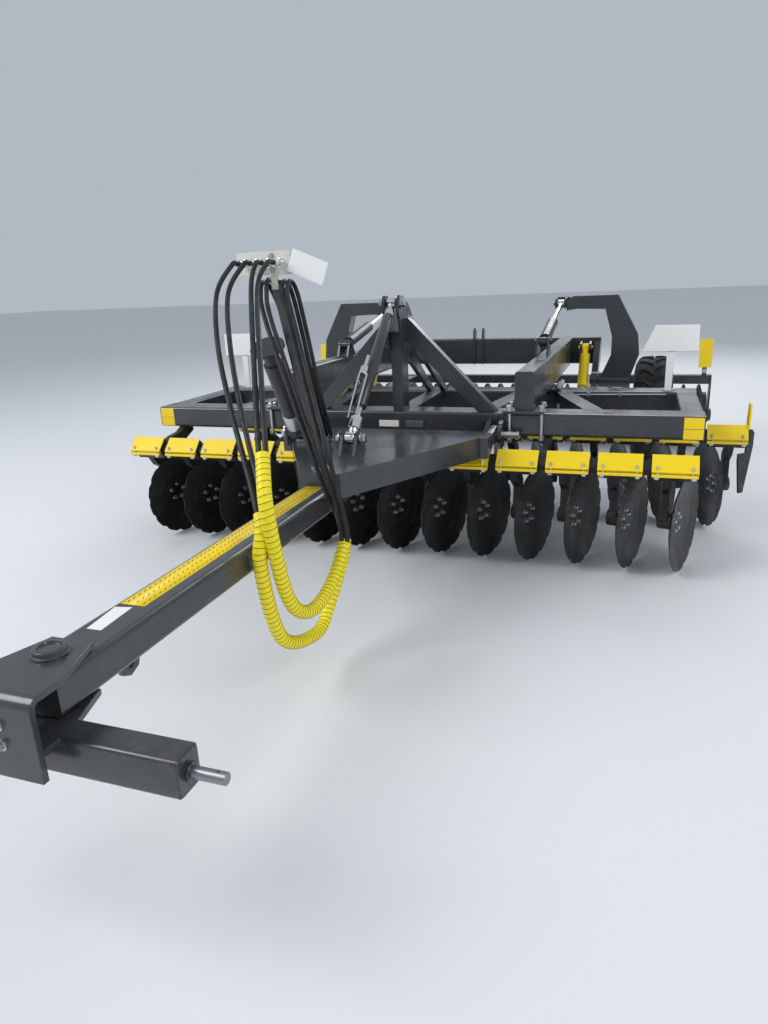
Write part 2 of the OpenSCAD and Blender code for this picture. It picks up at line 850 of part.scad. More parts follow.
// Housings, square bar and clamp brackets of both rows, and the outer blade
module carriers() {
  color(dark_colour)
    placed() {
      carrier_row(front_shift, 0);
      union() {
        carrier_row(rear_shift, row_gap);
        translate([rear_edge + housing_w / 2 - 1, row_gap + housing_y, housing_z])
          rotate([45, 0, 0])
            translate([0, -core_side / 2, -core_side / 2])
              cube([guard_w / 2 - housing_w / 2 + 12, core_side, core_side]);
        edge_blade();
      }
    }
}

// Slanting blade that stands outside the last disc of the rear row
module edge_blade() {
  translate([right_reach - blade_t * sin(blade_turn), row_gap + housing_y + (right_reach - rear_edge - guard_w / 2), 0])
    rotate([0, 0, blade_turn])
      rotate([90, 0, 0])
        linear_extrude(blade_t)
          polygon([[-blade_w, housing_z - 130], [-blade_w * 0.8, blade_low + 60], [-blade_w * 0.7, blade_low], [-blade_w * 0.4, blade_low], [0, housing_z - 60], [0, housing_z + 20], [-20, housing_z + 40], [-blade_w * 0.48, housing_z + 40], [-blade_w * 0.48, housing_z - 90], [-blade_w, housing_z - 90]]);
}

// One row's housings on their square bar, with brackets up to the beam
module carrier_row(shift, y) {
  translate([0, y, 0])
    union() {
      translate([shift - half_units * pitch - housing_w / 2, housing_y, housing_z])
        rotate([45, 0, 0])
          translate([0, -core_side / 2, -core_side / 2])
            cube([2 * half_units * pitch + housing_w, core_side, core_side]);
      each_unit(shift)
        translate([-housing_w / 2, housing_y, housing_z])
          rotate([45, 0, 0])
            translate([0, -housing_side / 2, -housing_side / 2])
              cube([housing_w, housing_side, housing_side]);
      for (k = [-half_units : 3 : half_units - 1])
        carrier_bracket(shift + (k + 0.5) * pitch);
    }
}

// A clamp bracket between two housings
module carrier_bracket(x) {
  plate_yz(x - bracket_w / 2, bracket_w, [[housing_y - 10, housing_z - housing_half + 6], [housing_y + housing_half + 8, housing_z - 12], [front_beam_y + 110, frame_low - 40], [front_beam_y + 110, frame_low], [front_beam_y + 20, frame_low], [front_beam_y - 30, frame_low - 26], [housing_y + 20, housing_z + housing_half + 6], [housing_y - 10, housing_z + housing_half - 6]]);
}

// Guards of both rows
module shields() {
  color(guard_colour)
    placed() {
      each_unit(front_shift)
        guard();
      translate([0, row_gap, 0])
        each_unit(rear_shift)
          guard();
      translate([0, row_gap, 0])
        side_plate();
    }
}

// One guard: a plate on the housing's upper front face with a folded lip
module guard() {
  translate([-guard_w / 2, housing_y - housing_half, housing_z])
    rotate([45, 0, 0]) {
      translate([0, -guard_l + housing_side, 0])
        rotate([0, 0, 0])
          translate([0, 0, 0])
            cube([guard_w, guard_l, guard_t]);
      translate([0, housing_side - guard_l, -guard_lip + guard_t])
        cube([guard_w, guard_t, guard_lip - guard_t + 0.01]);
    }
}

// Upright plate at the outer end of the rear row
module side_plate() {
  plate_z = housing_z + housing_half - 15;
  plate_yz(rear_edge + guard_w / 2 - 1, 9, [[60, plate_z], [150, plate_z], [165, plate_z + 30], [150, 760], [70, 760]]);
}

// Arms of both rows
module arms() {
  color(dark_colour)
    placed() {
      each_unit(front_shift)
        arm();
      translate([0, row_gap, 0])
        each_unit(rear_shift)
          mirror([1, 0, 0])
            arm();
    }
}

// One arm: a curved flat casting from the housing down to the hub, with the hub housing
module arm() {
  slope = housing_half - 4;
  difference() {
    union() {
      translate([hub_x - hub_set() - arm_t / 2 - arm_set, 0, 0])
        rotate([90, 0, 90])
          linear_extrude(arm_t)
            polygon([[housing_y + 4, housing_z - slope], [housing_y + slope, housing_z - 4], [housing_y + slope + 60, housing_z - 60], [hub_y + 84, housing_z - 150], [hub_y + 76, hub_z + 60], [hub_y + 40, hub_z - 20], [hub_y, hub_z - 30], [hub_y - 40, hub_z + 10], [hub_y - 30, hub_z + 80], [hub_y - 20, housing_z - 170], [housing_y + 50, housing_z - 120]]);
      hub_axis()
        translate([0, 0, -flange_t - hub_gap - hub_len])
          cylinder(h = hub_len, r = hub_r);
    }
    hub_axis()
      translate([0, 0, -flange_t - hub_gap - hub_len - 80])
        cylinder(h = hub_len + 81, r = spindle_r + pin_gap);
  }
}

function hub_set() = (flange_t + hub_gap + hub_len / 2) * cos(disc_angle);

// The axis of a front disc, with +Z to its hollow side and its zero at the middle of the back face
module hub_axis() {
  translate([hub_x, hub_y, hub_z])
    rotate([0, 0, -disc_angle])
      rotate([0, 90, 0])
        children();
}

// One notched disc with its flange and spindle, hollow side to +Z
module disc() {
  union() {
    intersection() {
      rotate_extrude()
        polygon([[0, 0], [disc_flat_r, 0], [disc_r * 0.47, disc_dish * 0.18], [disc_r * 0.71, disc_dish * 0.47], [disc_r * 0.87, disc_dish * 0.74], [disc_r, disc_dish], [disc_r, disc_dish + disc_t / 2], [disc_r - disc_t, disc_dish + disc_t / 2], [disc_r * 0.87, disc_dish * 0.74 + disc_t], [disc_r * 0.71, disc_dish * 0.47 + disc_t], [disc_r * 0.47, disc_dish * 0.18 + disc_t], [disc_flat_r, disc_t], [0, disc_t]]);
      translate([0, 0, -5])
        linear_extrude(disc_dish + 20)
          difference() {
            circle(disc_r + 1);
            for (k = [0 : notches - 1])
              rotate([0, 0, (k + 0.5) * 360 / notches])
                translate([disc_r + notch_r - notch_depth, 0])
                  circle(notch_r);
          }
    }
    translate([0, 0, -flange_t])
      cylinder(h = flange_t + 0.5, r = flange_r);
    translate([0, 0, -flange_t - hub_gap - hub_len + 4])
      cylinder(h = flange_t + hub_gap + hub_len - 4, r = spindle_r);
  }
}

// Disc number k of the front row
module front_disc(k) {
  placed()
    translate([front_shift + (k - 1 - half_units) * pitch, 0, 0])
      hub_axis()
        disc();
}

// Disc number k of the rear row
module rear_disc(k) {
  placed()
    translate([rear_shift + (k - 1 - half_units) * pitch, row_gap, 0])
      mirror([1, 0, 0])
        hub_axis()
          disc();
}

// Drawbar: flared box, tongue, hinge ears, clevis and stand bracket
module drawbar() {
  color(frame_colour)
    placed()
      difference() {
        union() {
          translate([0, 0, box_z])
            linear_extrude(box_h)
              polygon([[-box_front_half, -box_front], [box_front_half, -box_front], [ear_x - ear_t / 2 - 6, -55], [ear_x - ear_t / 2 - 6, -25], [-ear_x + ear_t / 2 + 6, -25], [-ear_x + ear_t / 2 + 6, -55]]);
          translate([-ear_x + ear_t / 2, -30, box_top - 50])
            cube([2 * ear_x - ear_t, 120, 50]);
          bar_y(-pivot_y - 70, -box_front + 250, -tongue_w / 2, tongue_z, tongue_w, tongue_h, tongue_round);
          both()
            drawbar_ear();
          for (x = [-tb_eye_w / 2 - side_gap - 14, tb_eye_w / 2 + side_gap])
            turnbuckle_ear(x);
          plate_yz(-7, 14, [[-pivot_y + 190, tongue_z + 2], [-pivot_y + 210, tongue_z - 60], [-pivot_y + 240, tongue_z - 74], [-pivot_y + 275, tongue_z - 60], [-pivot_y + 300, tongue_z + 2]]);
          for (x = [stand_x - stand_r - ear_gap - stand_ear_t, stand_x + stand_r + ear_gap])
            stand_ear(x);
          for (x = fit_x)
            translate([x, fit_y, box_top - 1])
              cylinder(h = fit_h + 1, r = fit_r);
        }
        rod_x(-ear_x - 100, ear_x + 100, hinge_y, hinge_z, hinge_pin_r + pin_gap);
        translate([0, -pivot_y, tongue_z - 10])
          cylinder(h = tongue_h + 20, r = pivot_r + pin_gap);
        rod_x(-100, 100, -link_pin_y, link_pin_z, tb_pin_r + pin_gap);
        rod_x(stand_x - 120, stand_x + 120, -stand_y, stand_z, stand_pin_r + pin_gap);
        rod_x(-40, 40, -pivot_y + 245, tongue_z - 40, 13);
      }
}

// A hinge ear at the drawbar's rear corner
module drawbar_ear() {
  plate_yz(ear_x - ear_t / 2, ear_t, [[-70, box_z + 4], [-ear_front, box_z + 4], [60, box_top - 60], [hinge_y, hinge_z - eye_r], [hinge_y, hinge_z + eye_r], [60, box_top], [-70, box_top]]);
  rod_x(ear_x - ear_t / 2, ear_x + ear_t / 2, hinge_y, hinge_z, eye_r);
  translate([ear_x - ear_t / 2 - 10, -70, box_z + 4])
    cube([12, 60, box_h - 4]);
}

// One ear of the turnbuckle's clevis on the box
module turnbuckle_ear(x) {
  plate_yz(x, 14, [[-link_pin_y - 70, box_top - 2], [-link_pin_y + 80, box_top - 2], [-link_pin_y + 28, link_pin_z + 10], [-link_pin_y, link_pin_z + 30], [-link_pin_y - 28, link_pin_z + 10]]);
}

// One ear of the parking stand's bracket on the box's left side
module stand_ear(x) {
  plate_yz(x, stand_ear_t, [[-stand_y - 40, box_top - 2], [-stand_y + 60, box_top - 2], [-stand_y + 36, stand_z + 14], [-stand_y, stand_z + 30], [-stand_y - 36, stand_z + 14]]);
}

// Hinge pins, upright hitch pin and clevis pins that stay with the drawbar
module drawbar_pins() {
  color(steel_colour)
    placed() {
      both()
        union() {
          rod_x(ear_x - lug_gap - lug_t - 10, ear_x + lug_gap + lug_t + pin_out, hinge_y, hinge_z, hinge_pin_r);
          rod_x(ear_x + lug_gap + lug_t + pin_out - pin_head, ear_x + lug_gap + lug_t + pin_out, hinge_y, hinge_z, hinge_pin_r + 5);
        }
      union() {
        translate([0, -pivot_y, head_low_z - head_t - 10])
          cylinder(h = head_top_z - head_low_z + 2 * head_t + 10, r = pivot_r);
        translate([0, -pivot_y, head_top_z + head_t])
          cylinder(h = 22, r = pivot_r + 24);
      }
      rod_x(-tb_eye_w / 2 - side_gap - 14 - 14, tb_eye_w / 2 + side_gap + 14 + 14, -link_pin_y, link_pin_z, tb_pin_r);
      rod_x(stand_x - stand_r - ear_gap - stand_ear_t - 12, stand_x + stand_r + ear_gap + stand_ear_t, -stand_y, stand_z, stand_pin_r);
    }
}

// Hitch head with its cross bar and lower link pins
module hitch_head() {
  color(frame_colour)
    placed()
      difference() {
        union() {
          head_plate(head_top_z);
          head_plate(head_low_z - head_t);
          translate([-head_half, -pivot_y - head_front - head_t, head_low_z - head_t - 60])
            cube([2 * head_half, head_t, head_top_z + head_t - head_low_z + head_t + 60]);
          bar_x(-link_half, link_half, -pivot_y - bar_set - bar_d / 2, bar_z - bar_h / 2, bar_d, bar_h, 10);
          rod_x(-link_half - link_len, link_half + link_len, -pivot_y - bar_set, bar_z, link_r);
          both()
            rod_x(link_half - 1, link_half + 10, -pivot_y - bar_set, bar_z, link_r + 8);
        }
        translate([0, -pivot_y, head_low_z - 60])
          cylinder(h = tongue_h + 140, r = pivot_r + pin_gap);
      }
}

// One level plate of the hitch head with its upright bore
module head_plate(z) {
  translate([0, 0, z])
    linear_extrude(head_t)
      polygon([[-head_half, -pivot_y - head_front - 4], [head_half, -pivot_y - head_front - 4], [head_half, -pivot_y - 30], [60, -pivot_y + 70], [-60, -pivot_y + 70], [-head_half, -pivot_y - 30]]);
}

// The turnbuckle's own axis: zero at its lower pin and +Z towards the mast's eye
module tb_axis() {
  translate([0, -link_pin_y, link_pin_z])
    rotate([-tb_tilt, 0, 0])
      children();
}

// Turnbuckle tube with its lower eye
module turnbuckle_body() {
  color(steel_colour)
    placed()
      tb_axis()
        difference() {
          union() {
            rod_x(-tb_eye_w / 2, tb_eye_w / 2, 0, 0, tb_eye_r);
            cylinder(h = tube_len, r = tube_r);
          }
          rod_x(-tb_eye_w, tb_eye_w, 0, 0, tb_pin_r + pin_gap);
          translate([0, 0, 60])
            cylinder(h = tube_len, r = screw_r + pin_gap);
        }
}

// Turnbuckle screw with its upper eye
module turnbuckle_screw() {
  color(steel_colour)
    placed()
      tb_axis()
        union() {
          translate([0, 0, tube_len - 200])
            cylinder(h = tb_len - tube_len + 200 - tb_eye_r + 4, r = screw_r);
          difference() {
            rod_x(-tb_eye_w / 2, tb_eye_w / 2, 0, tb_len, tb_eye_r);
            rod_x(-tb_eye_w, tb_eye_w, 0, tb_len, mast_eye_r + screw_play);
          }
        }
}

// The stand's own axis: zero at its pivot and +Z towards its foot
module stand_axis() {
  translate([stand_x, -stand_y, stand_z])
    rotate([stand_lean, 0, 0])
      children();
}

// Parking stand, stowed upwards
module parking_stand() {
  color(dark_colour)
    placed()
      stand_axis()
        difference() {
          union() {
            rod_x(-stand_r, stand_r, 0, 0, stand_in_r);
            translate([0, 0, 20])
              cylinder(h = stand_len, r = stand_r);
            cylinder(h = 24, r = stand_in_r);
            translate([0, 0, stand_len])
              cylinder(h = stand_out + 20, r = stand_in_r);
            translate([0, 0, stand_len + stand_out + 20 - foot_t])
              cylinder(h = foot_t, r = foot_r);
          }
          rod_x(-stand_r - 5, stand_r + 5, 0, 0, stand_pin_r + pin_gap);
        }
}

// Leaning post and plate with the hose couplings
module hose_holder() {
  color(white_colour)
    placed()
      union() {
        plate_yz(post_x - post_side / 2, post_side, [[-post_y + post_run - post_side / 2, box_top], [-post_y + post_run + post_side / 2, box_top], [-post_y + post_side / 2, post_top], [-post_y - post_side / 2, post_top]]);
        translate([post_x - 15, -post_y - post_side / 2 - 1, post_top - 40])
          cube([30, 12, 40 + 20 + plate_h / 2]);
        translate([post_x + plate_shift - plate_w / 2, holder_face, post_top + 20])
          cube([plate_w, plate_t, plate_h]);
        for (k = [0 : 3])
          translate([coupling_x(k), holder_face + 1, coupling_z])
            rotate([90, 0, 0])
              cylinder(h = coupling_len + 1, r = coupling_r);
      }
}

// Hose number k as one swept tube
module hose(points) {
  color(dark_colour)
    placed()
      polyhedron(points = tube_points(points, hose_r), faces = tube_faces(len(points)));
}

module hose_1() {
  hose(route_1);
}

module hose_2() {
  hose(route_2);
}

module hose_3() {
  hose(route_3);
}

module hose_4() {
  hose(route_4);
}

// Marker boards on posts at the second beam
module marker_boards() {
  color(white_colour)
    placed()
      both() {
        union() {
          translate([board_x - board_w / 2, second_beam_y + 40, board_z - board_h / 2])
            cube([board_w, board_t, board_h]);
          translate([board_x - board_post / 2, second_beam_y + 40 + board_t - 1, frame_top])
            cube([board_post, 20, board_z - frame_top + 20]);
        }
      }
}

// Roller frame: cross tube, arms with their pins, end plates and cylinder lugs
module roller_frame() {
  color(frame_colour)
    placed()
      difference() {
        union() {
          bar_x(-end_in - end_t, end_in + end_t, roller_y - cross_side / 2, tube_low, cross_side, cross_side, 8);
          bar_x(-roller_arm_x, roller_arm_x, cross_y - cross_side / 2, cross_top - cross_side, cross_side, cross_side, 8);
          both()
            roller_arm_side();
          both()
            roller_end_plate();
          both()
            end_board();
        }
        rod_x(-end_in - 60, -end_in + end_gap - 1, roller_y, roller_r, stub_r + pin_gap);
        rod_x(end_in - end_gap + 1, end_in + 60, roller_y, roller_r, stub_r + pin_gap);
      }
}

// One arm of the roller frame, with its hinge pin, and the slot and pin of its cylinder
module roller_arm_side() {
  pin_half = roller_arm / 2 + side_gap + lug_t + pin_head;
  slot_w = cyl_eye_w + 2 * side_gap;
  difference() {
    plate_yz(roller_arm_x - roller_arm / 2, roller_arm, [
      [roller_hinge_y, roller_hinge_z - 32],
      [rc_low_y - 125, rc_low_z - 12],
      [rc_low_y - 15, rc_low_z - 36],
      [roller_y, tube_low + 4],
      [roller_y, tube_top - 4],
      [rc_low_y + 295, rc_low_z + 40],
      [rc_low_y - 45, rc_low_z + 40],
      [rc_low_y - 125, rc_low_z + 68],
      [roller_hinge_y, roller_hinge_z + 32]
    ]);
    translate([roller_arm_x - slot_w / 2, rc_low_y - 50, rc_low_z - 60])
      cube([slot_w, 150, 120]);
  }
  rod_x(roller_arm_x - roller_arm / 2, roller_arm_x + roller_arm / 2, roller_hinge_y, roller_hinge_z, 32);
  rod_x(roller_arm_x - pin_half, roller_arm_x + pin_half, roller_hinge_y, roller_hinge_z, roller_pin_r);
  rod_x(roller_arm_x - cyl_pin_half, roller_arm_x + cyl_pin_half, rc_low_y, rc_low_z, rod_pin_r);
}

// One end plate of the roller frame with its bearing
module roller_end_plate() {
  plate_yz(end_in, end_t, [
    [roller_y - 45, tube_top],
    [roller_y + 45, tube_top],
    [roller_y + 66, roller_r + 60],
    [roller_y + 60, roller_r - 20],
    [roller_y + 30, roller_r - 60],
    [roller_y - 30, roller_r - 60],
    [roller_y - 60, roller_r - 20],
    [roller_y - 70, roller_r + 60]
  ]);
  rod_x(end_in - end_gap + 6, end_in + end_t + 20, roller_y, roller_r, 55);
}

// Board that marks one end of the roller, on its post
module end_board() {
  x_mid = end_in + end_t - mark_in;
  translate([x_mid - 18, roller_y - 18, tube_top - 2])
    cube([36, 36, mark_lift + mark_h - 20]);
  translate([x_mid - mark_w / 2, roller_y - 26, tube_top + mark_lift])
    cube([mark_w, 10, mark_h]);
}

// Ringed packer roller
module roller() {
  color(dark_colour)
    placed()
      union() {
        rod_x(-roller_half, roller_half, roller_y, roller_r, drum_r);
        rod_x(-roller_reach, roller_reach, roller_y, roller_r, stub_r);
        for (k = [0 : rings - 1])
          translate([-roller_half + ring_t + k * (2 * roller_half - 2 * ring_t) / (rings - 1), roller_y, roller_r])
            rotate([0, 90, 0])
              rotate_extrude()
                polygon([[drum_r - 2, -ring_t / 2], [roller_r, -8], [roller_r, 8], [drum_r - 2, ring_t / 2]]);
      }
}

// A roller cylinder's own axis: zero at its upper pin and +Z towards its lower pin
module rc_axis(side) {
  translate([side * roller_arm_x, rc_top_y, rc_top_z])
    rotate([180 - rc_tilt, 0, 0])
      children();
}

// Roller cylinder barrel with its upper eye and pin
module roller_barrel(side) {
  rc_axis(side)
    difference() {
      union() {
        rod_x(-cyl_eye_w / 2, cyl_eye_w / 2, 0, 0, cyl_eye_r);
        cylinder(h = cyl_neck + 1, r = cyl_eye_w / 2);
        translate([0, 0, cyl_neck])
          cylinder(h = rc_len - cyl_neck, r = rc_r);
        rod_x(-cyl_pin_half, cyl_pin_half, 0, 0, cyl_pin_r);
      }
      translate([0, 0, cyl_neck + 10])
        cylinder(h = rc_len, r = rc_rod_r + pin_gap);
    }
}

// Roller cylinder rod with its lower eye
module roller_rod(side) {
  rc_axis(side)
    difference() {
      union() {
        translate([0, 0, rc_dist - rc_rod_l])
          cylinder(h = rc_rod_l, r = rc_rod_r);
        rod_x(-cyl_eye_w / 2, cyl_eye_w / 2, 0, rc_dist, cyl_eye_r);
      }
      rod_x(-cyl_eye_w, cyl_eye_w, 0, rc_dist, rod_pin_r + roller_play);
    }
}

module left_roller_barrel() {
  color(guard_colour)
    placed()
      roller_barrel(-1);
}

module right_roller_barrel() {
  color(guard_colour)
    placed()
      roller_barrel(1);
}

module left_roller_rod() {
  color(steel_colour)
    placed()
      roller_rod(-1);
}

module right_roller_rod() {
  color(steel_colour)
    placed()
      roller_rod(1);
}

// Right wheel arm: pivot shaft, arm plate, gooseneck and axle
module wheel_arm() {
  union() {
    rod_x(rear_half - swing_w - 10, arm_out, swing_y, swing_z, swing_pin_r);
    rod_x(swing_in, arm_out, swing_y, swing_z, swing_r);
    plate_yz(arm_out - arm_plate_t, arm_plate_t, [[swing_y - 50, swing_z - 30], [swing_y + 20, swing_z - 58], [wheel_y - 30, tyre_r - 60], [wheel_y + 30, tyre_r - 55], [wheel_y + 55, tyre_r], [wheel_y + 20, tyre_r + 55], [swing_y + 60, swing_z + 60], [swing_y - 40, swing_z + 50]]);
    rod_x(arm_out - arm_plate_t, wheel_x + 60, wheel_y, tyre_r, axle_r);
    rod_x(arm_out - arm_plate_t, arm_out + 12, wheel_y, tyre_r, axle_r + 26);
    rod_x(lift_x - cyl_pin_half, lift_x + cyl_pin_half, lift_eye_y, lift_eye_z, rod_pin_r);
    gooseneck();
  }
}

// The arched part of the wheel arm, seen from the front, with its clevis
module gooseneck() {
  x_low = swing_in + 15;
  knee_low = swing_z + (goose_top - swing_z) * 0.31;
  knee_high = swing_z + (goose_top - swing_z) * 0.54;
  throat = lift_x + (arm_out - lift_x) * 0.62;
  translate([0, swing_y + goose_d / 2, 0])
    rotate([90, 0, 0])
      linear_extrude(goose_d)
        polygon([
          [x_low, swing_z + 20],
          [arm_out, swing_z + 20],
          [arm_out + 55, knee_low],
          [arm_out + 40, knee_high],
          [throat + 85, goose_top],
          [lift_x + 90, goose_top],
          [lift_x + 45, goose_top - 30],
          [lift_x + 45, goose_top - 100],
          [lift_x + 120, goose_top - 90],
          [throat, goose_top - 96],
          [x_low + 70, knee_high - 10],
          [x_low + 70, knee_low]
        ]);
  for (side = [-1, 1]) {
    lug_x = lift_x + side * (cyl_eye_w / 2 + side_gap + cyl_lug_t / 2) - cyl_lug_t / 2;
    plate_yz(lug_x, cyl_lug_t, [[lift_eye_y - 30, lift_eye_z - 20], [lift_eye_y, lift_eye_z - 32], [lift_eye_y + 60, lift_eye_z - 32], [lift_eye_y + 60, goose_top - 6], [lift_eye_y - 10, goose_top - 16], [lift_eye_y - 30, lift_eye_z + 20]]);
  }
  translate([lift_x - cyl_eye_w / 2 - side_gap - 14, lift_eye_y + 42, lift_eye_z - 32])
    cube([cyl_eye_w + 2 * side_gap + 28 + 20, 22, 80]);
}

module left_wheel_arm() {
  color(frame_colour)
    placed()
      mirror([1, 0, 0])
        wheel_arm();
}

module right_wheel_arm() {
  color(frame_colour)
    placed()
      wheel_arm();
}

// Wheel: rim, disc and hub
module wheel_rim() {
  translate([wheel_x, wheel_y, tyre_r])
    rotate([0, 90, 0])
      difference() {
        rotate_extrude()
          polygon([[axle_r + pin_gap, -40], [70, -40], [70, 0], [150, 12], [rim_r - 30, 12], [rim_r - 30, -tyre_w / 2 + 30], [rim_r + 10, -tyre_w / 2 + 20], [rim_r + 10, -tyre_w / 2 + 28], [rim_r - 20, -tyre_w / 2 + 50], [rim_r - 20, tyre_w / 2 - 50], [rim_r + 10, tyre_w / 2 - 28], [rim_r + 10, tyre_w / 2 - 20], [rim_r - 30, tyre_w / 2 - 30], [rim_r - 30, 24], [150, 24], [60, 12], [60, 60], [axle_r + pin_gap, 60]]);
      }
}

// Tyre: outer casing on its rim
module tyre() {
  translate([wheel_x, wheel_y, tyre_r])
    rotate([0, 90, 0])
      rotate_extrude()
        polygon([[rim_r + 10, -tyre_w / 2 + 28], [rim_r + 30, -tyre_w / 2 + 12], [rim_r + 90, -tyre_w / 2], [rim_r + 150, -tyre_w / 2 + 8], [tyre_r - 36, -tyre_w / 2 + 26], [tyre_r - 8, -tyre_w / 2 + 52], [tyre_r, -tyre_w / 2 + 80], [tyre_r, tyre_w / 2 - 80], [tyre_r - 8, tyre_w / 2 - 52], [tyre_r - 36, tyre_w / 2 - 26], [rim_r + 150, tyre_w / 2 - 8], [rim_r + 90, tyre_w / 2], [rim_r + 30, tyre_w / 2 - 12], [rim_r + 10, tyre_w / 2 - 28], [rim_r - 20, tyre_w / 2 - 50], [rim_r - 20, -tyre_w / 2 + 50]]);
}

module left_wheel() {
  color(white_colour)
    placed()
      mirror([1, 0, 0])
        wheel_rim();
}

module right_wheel() {
  color(white_colour)
    placed()
      wheel_rim();
}

module left_tyre() {
  color(tyre_colour)
    placed()
      mirror([1, 0, 0])
        tyre();
}

module right_tyre() {
  color(tyre_colour)
    placed()
      tyre();
}

// A lift cylinder's own axis: zero at its front pin and +Z towards its rear eye
module lift_axis(side) {
  translate([side * lift_x, lift_base_y, lift_base_z])
    rotate([lift_tilt - 90, 0, 0])
      children();
}

// Lift cylinder barrel with its front eye and pin
module lift_barrel(side) {
  lift_axis(side)
    difference() {
      union() {
        rod_x(-cyl_eye_w / 2, cyl_eye_w / 2, 0, 0, cyl_eye_r);
        cylinder(h = cyl_neck + 1, r = cyl_eye_w / 2);
        translate([0, 0, cyl_neck])
          cylinder(h = lift_len - cyl_neck, r = lift_r);
        rod_x(-cyl_pin_half, cyl_pin_half, 0, 0, cyl_pin_r);
      }
      translate([0, 0, cyl_neck + 10])
        cylinder(h = lift_len, r = lift_rod_r + pin_gap);
    }
}

// Lift cylinder rod with its rear eye
module lift_rod(side) {
  rod_start = 80;
  lift_axis(side)
    difference() {
      union() {
        translate([0, 0, rod_start])
          cylinder(h = lift_dist - rod_start, r = lift_rod_r);
        rod_x(-cyl_eye_w / 2, cyl_eye_w / 2, 0, lift_dist, cyl_eye_r);
      }
      rod_x(-cyl_eye_w, cyl_eye_w, 0, lift_dist, rod_pin_r + lift_play);
    }
}

module left_lift_barrel() {
  color(dark_colour)
    placed()
      lift_barrel(-1);
}

module right_lift_barrel() {
  color(dark_colour)
    placed()
      lift_barrel(1);
}

module left_lift_rod() {
  color(steel_colour)
    placed()
      lift_rod(-1);
}

module right_lift_rod() {
  color(steel_colour)
    placed()
      lift_rod(1);
}

module front_disc_1() {
  color(disc_colour)
    front_disc(1);
}

module front_disc_2() {
  color(disc_colour)
    front_disc(2);
}

module front_disc_3() {
  color(disc_colour)
    front_disc(3);
}

module front_disc_4() {
  color(disc_colour)
    front_disc(4);
}

module front_disc_5() {
  color(disc_colour)
    front_disc(5);
}

module front_disc_6() {
  color(disc_colour)
    front_disc(6);
}

module front_disc_7() {
  color(disc_colour)
    front_disc(7);
}

module front_disc_8() {
  color(disc_colour)
    front_disc(8);
}

module front_disc_9() {
  color(disc_colour)
    front_disc(9);
}

module front_disc_10() {
  color(disc_colour)
    front_disc(10);
}

module front_disc_11() {
  color(disc_colour)
    front_disc(11);
}

module front_disc_12() {
  color(disc_colour)
    front_disc(12);
}

module front_disc_13() {
  color(disc_colour)
    front_disc(13);
}

module rear_disc_1() {
  color(disc_colour)
    rear_disc(1);
}

module rear_disc_2() {
  color(disc_colour)
    rear_disc(2);
}

module rear_disc_3() {
  color(disc_colour)
    rear_disc(3);
}

module rear_disc_4() {
  color(disc_colour)
    rear_disc(4);
}

module rear_disc_5() {
  color(disc_colour)
    rear_disc(5);
}

module rear_disc_6() {
  color(disc_colour)
    rear_disc(6);
}

module rear_disc_7() {
  color(disc_colour)
    rear_disc(7);
}

module rear_disc_8() {
  color(disc_colour)
    rear_disc(8);
}

module rear_disc_9() {
  color(disc_colour)
    rear_disc(9);
}

module rear_disc_10() {
  color(disc_colour)
    rear_disc(10);
}

module rear_disc_11() {
  color(disc_colour)
    rear_disc(11);
}

module rear_disc_12() {
  color(disc_colour)
    rear_disc(12);
}

module rear_disc_13() {
  color(disc_colour)
    rear_disc(13);
}

main_frame();
upper_frame();
mast();
carriers();
shields();
arms();
drawbar();
drawbar_pins();
hitch_head();
turnbuckle_body();
turnbuckle_screw();
parking_stand();
hose_holder();
hose_1();
hose_2();
hose_3();
hose_4();
marker_boards();
roller_frame();
roller();
left_roller_barrel();
right_roller_barrel();
left_roller_rod();
right_roller_rod();
left_wheel_arm();
right_wheel_arm();
left_wheel();
right_wheel();
left_tyre();
right_tyre();
left_lift_barrel();
right_lift_barrel();
left_lift_rod();
right_lift_rod();
front_disc_1();
front_disc_2();
front_disc_3();
front_disc_4();
front_disc_5();
front_disc_6();
front_disc_7();
front_disc_8();
front_disc_9();
front_disc_10();
front_disc_11();
front_disc_12();
front_disc_13();
rear_disc_1();
rear_disc_2();
rear_disc_3();
rear_disc_4();
rear_disc_5();
rear_disc_6();
rear_disc_7();
rear_disc_8();
rear_disc_9();
rear_disc_10();
rear_disc_11();
rear_disc_12();
rear_disc_13();
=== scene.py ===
"""Looks of a trailed compact disc harrow: hoses, bolts, tyre tread, fittings and finishes.

Metres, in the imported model's own frame: +X to the right as seen from the front, +Y to the rear, +Z up.
Surfaces are worked out as whole numpy arrays and put into meshes in one go.
"""
import math
import bpy
import numpy as np
from mathutils import Matrix


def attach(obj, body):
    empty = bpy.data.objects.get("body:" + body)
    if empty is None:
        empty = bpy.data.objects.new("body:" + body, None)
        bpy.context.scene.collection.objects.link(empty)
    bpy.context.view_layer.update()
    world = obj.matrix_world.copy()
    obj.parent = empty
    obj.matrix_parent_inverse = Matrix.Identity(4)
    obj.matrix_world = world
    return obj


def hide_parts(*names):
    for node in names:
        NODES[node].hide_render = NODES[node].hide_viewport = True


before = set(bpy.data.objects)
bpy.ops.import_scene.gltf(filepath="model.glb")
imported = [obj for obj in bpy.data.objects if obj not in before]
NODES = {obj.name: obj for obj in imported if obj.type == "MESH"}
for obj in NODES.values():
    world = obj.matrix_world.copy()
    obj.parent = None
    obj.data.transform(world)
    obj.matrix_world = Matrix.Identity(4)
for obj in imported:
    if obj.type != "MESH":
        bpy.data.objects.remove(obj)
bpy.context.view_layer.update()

# Offset from the machine's own zero, guards' front edge and centre plane, to the frame's origin
MACHINE = np.array([-0.013, -0.502, 0.0])


def at(x, y, z):
    """A place given from the machine's centre plane, the guards' front edge and the floor, in metres."""
    return np.array([x, y, z], float) + MACHINE


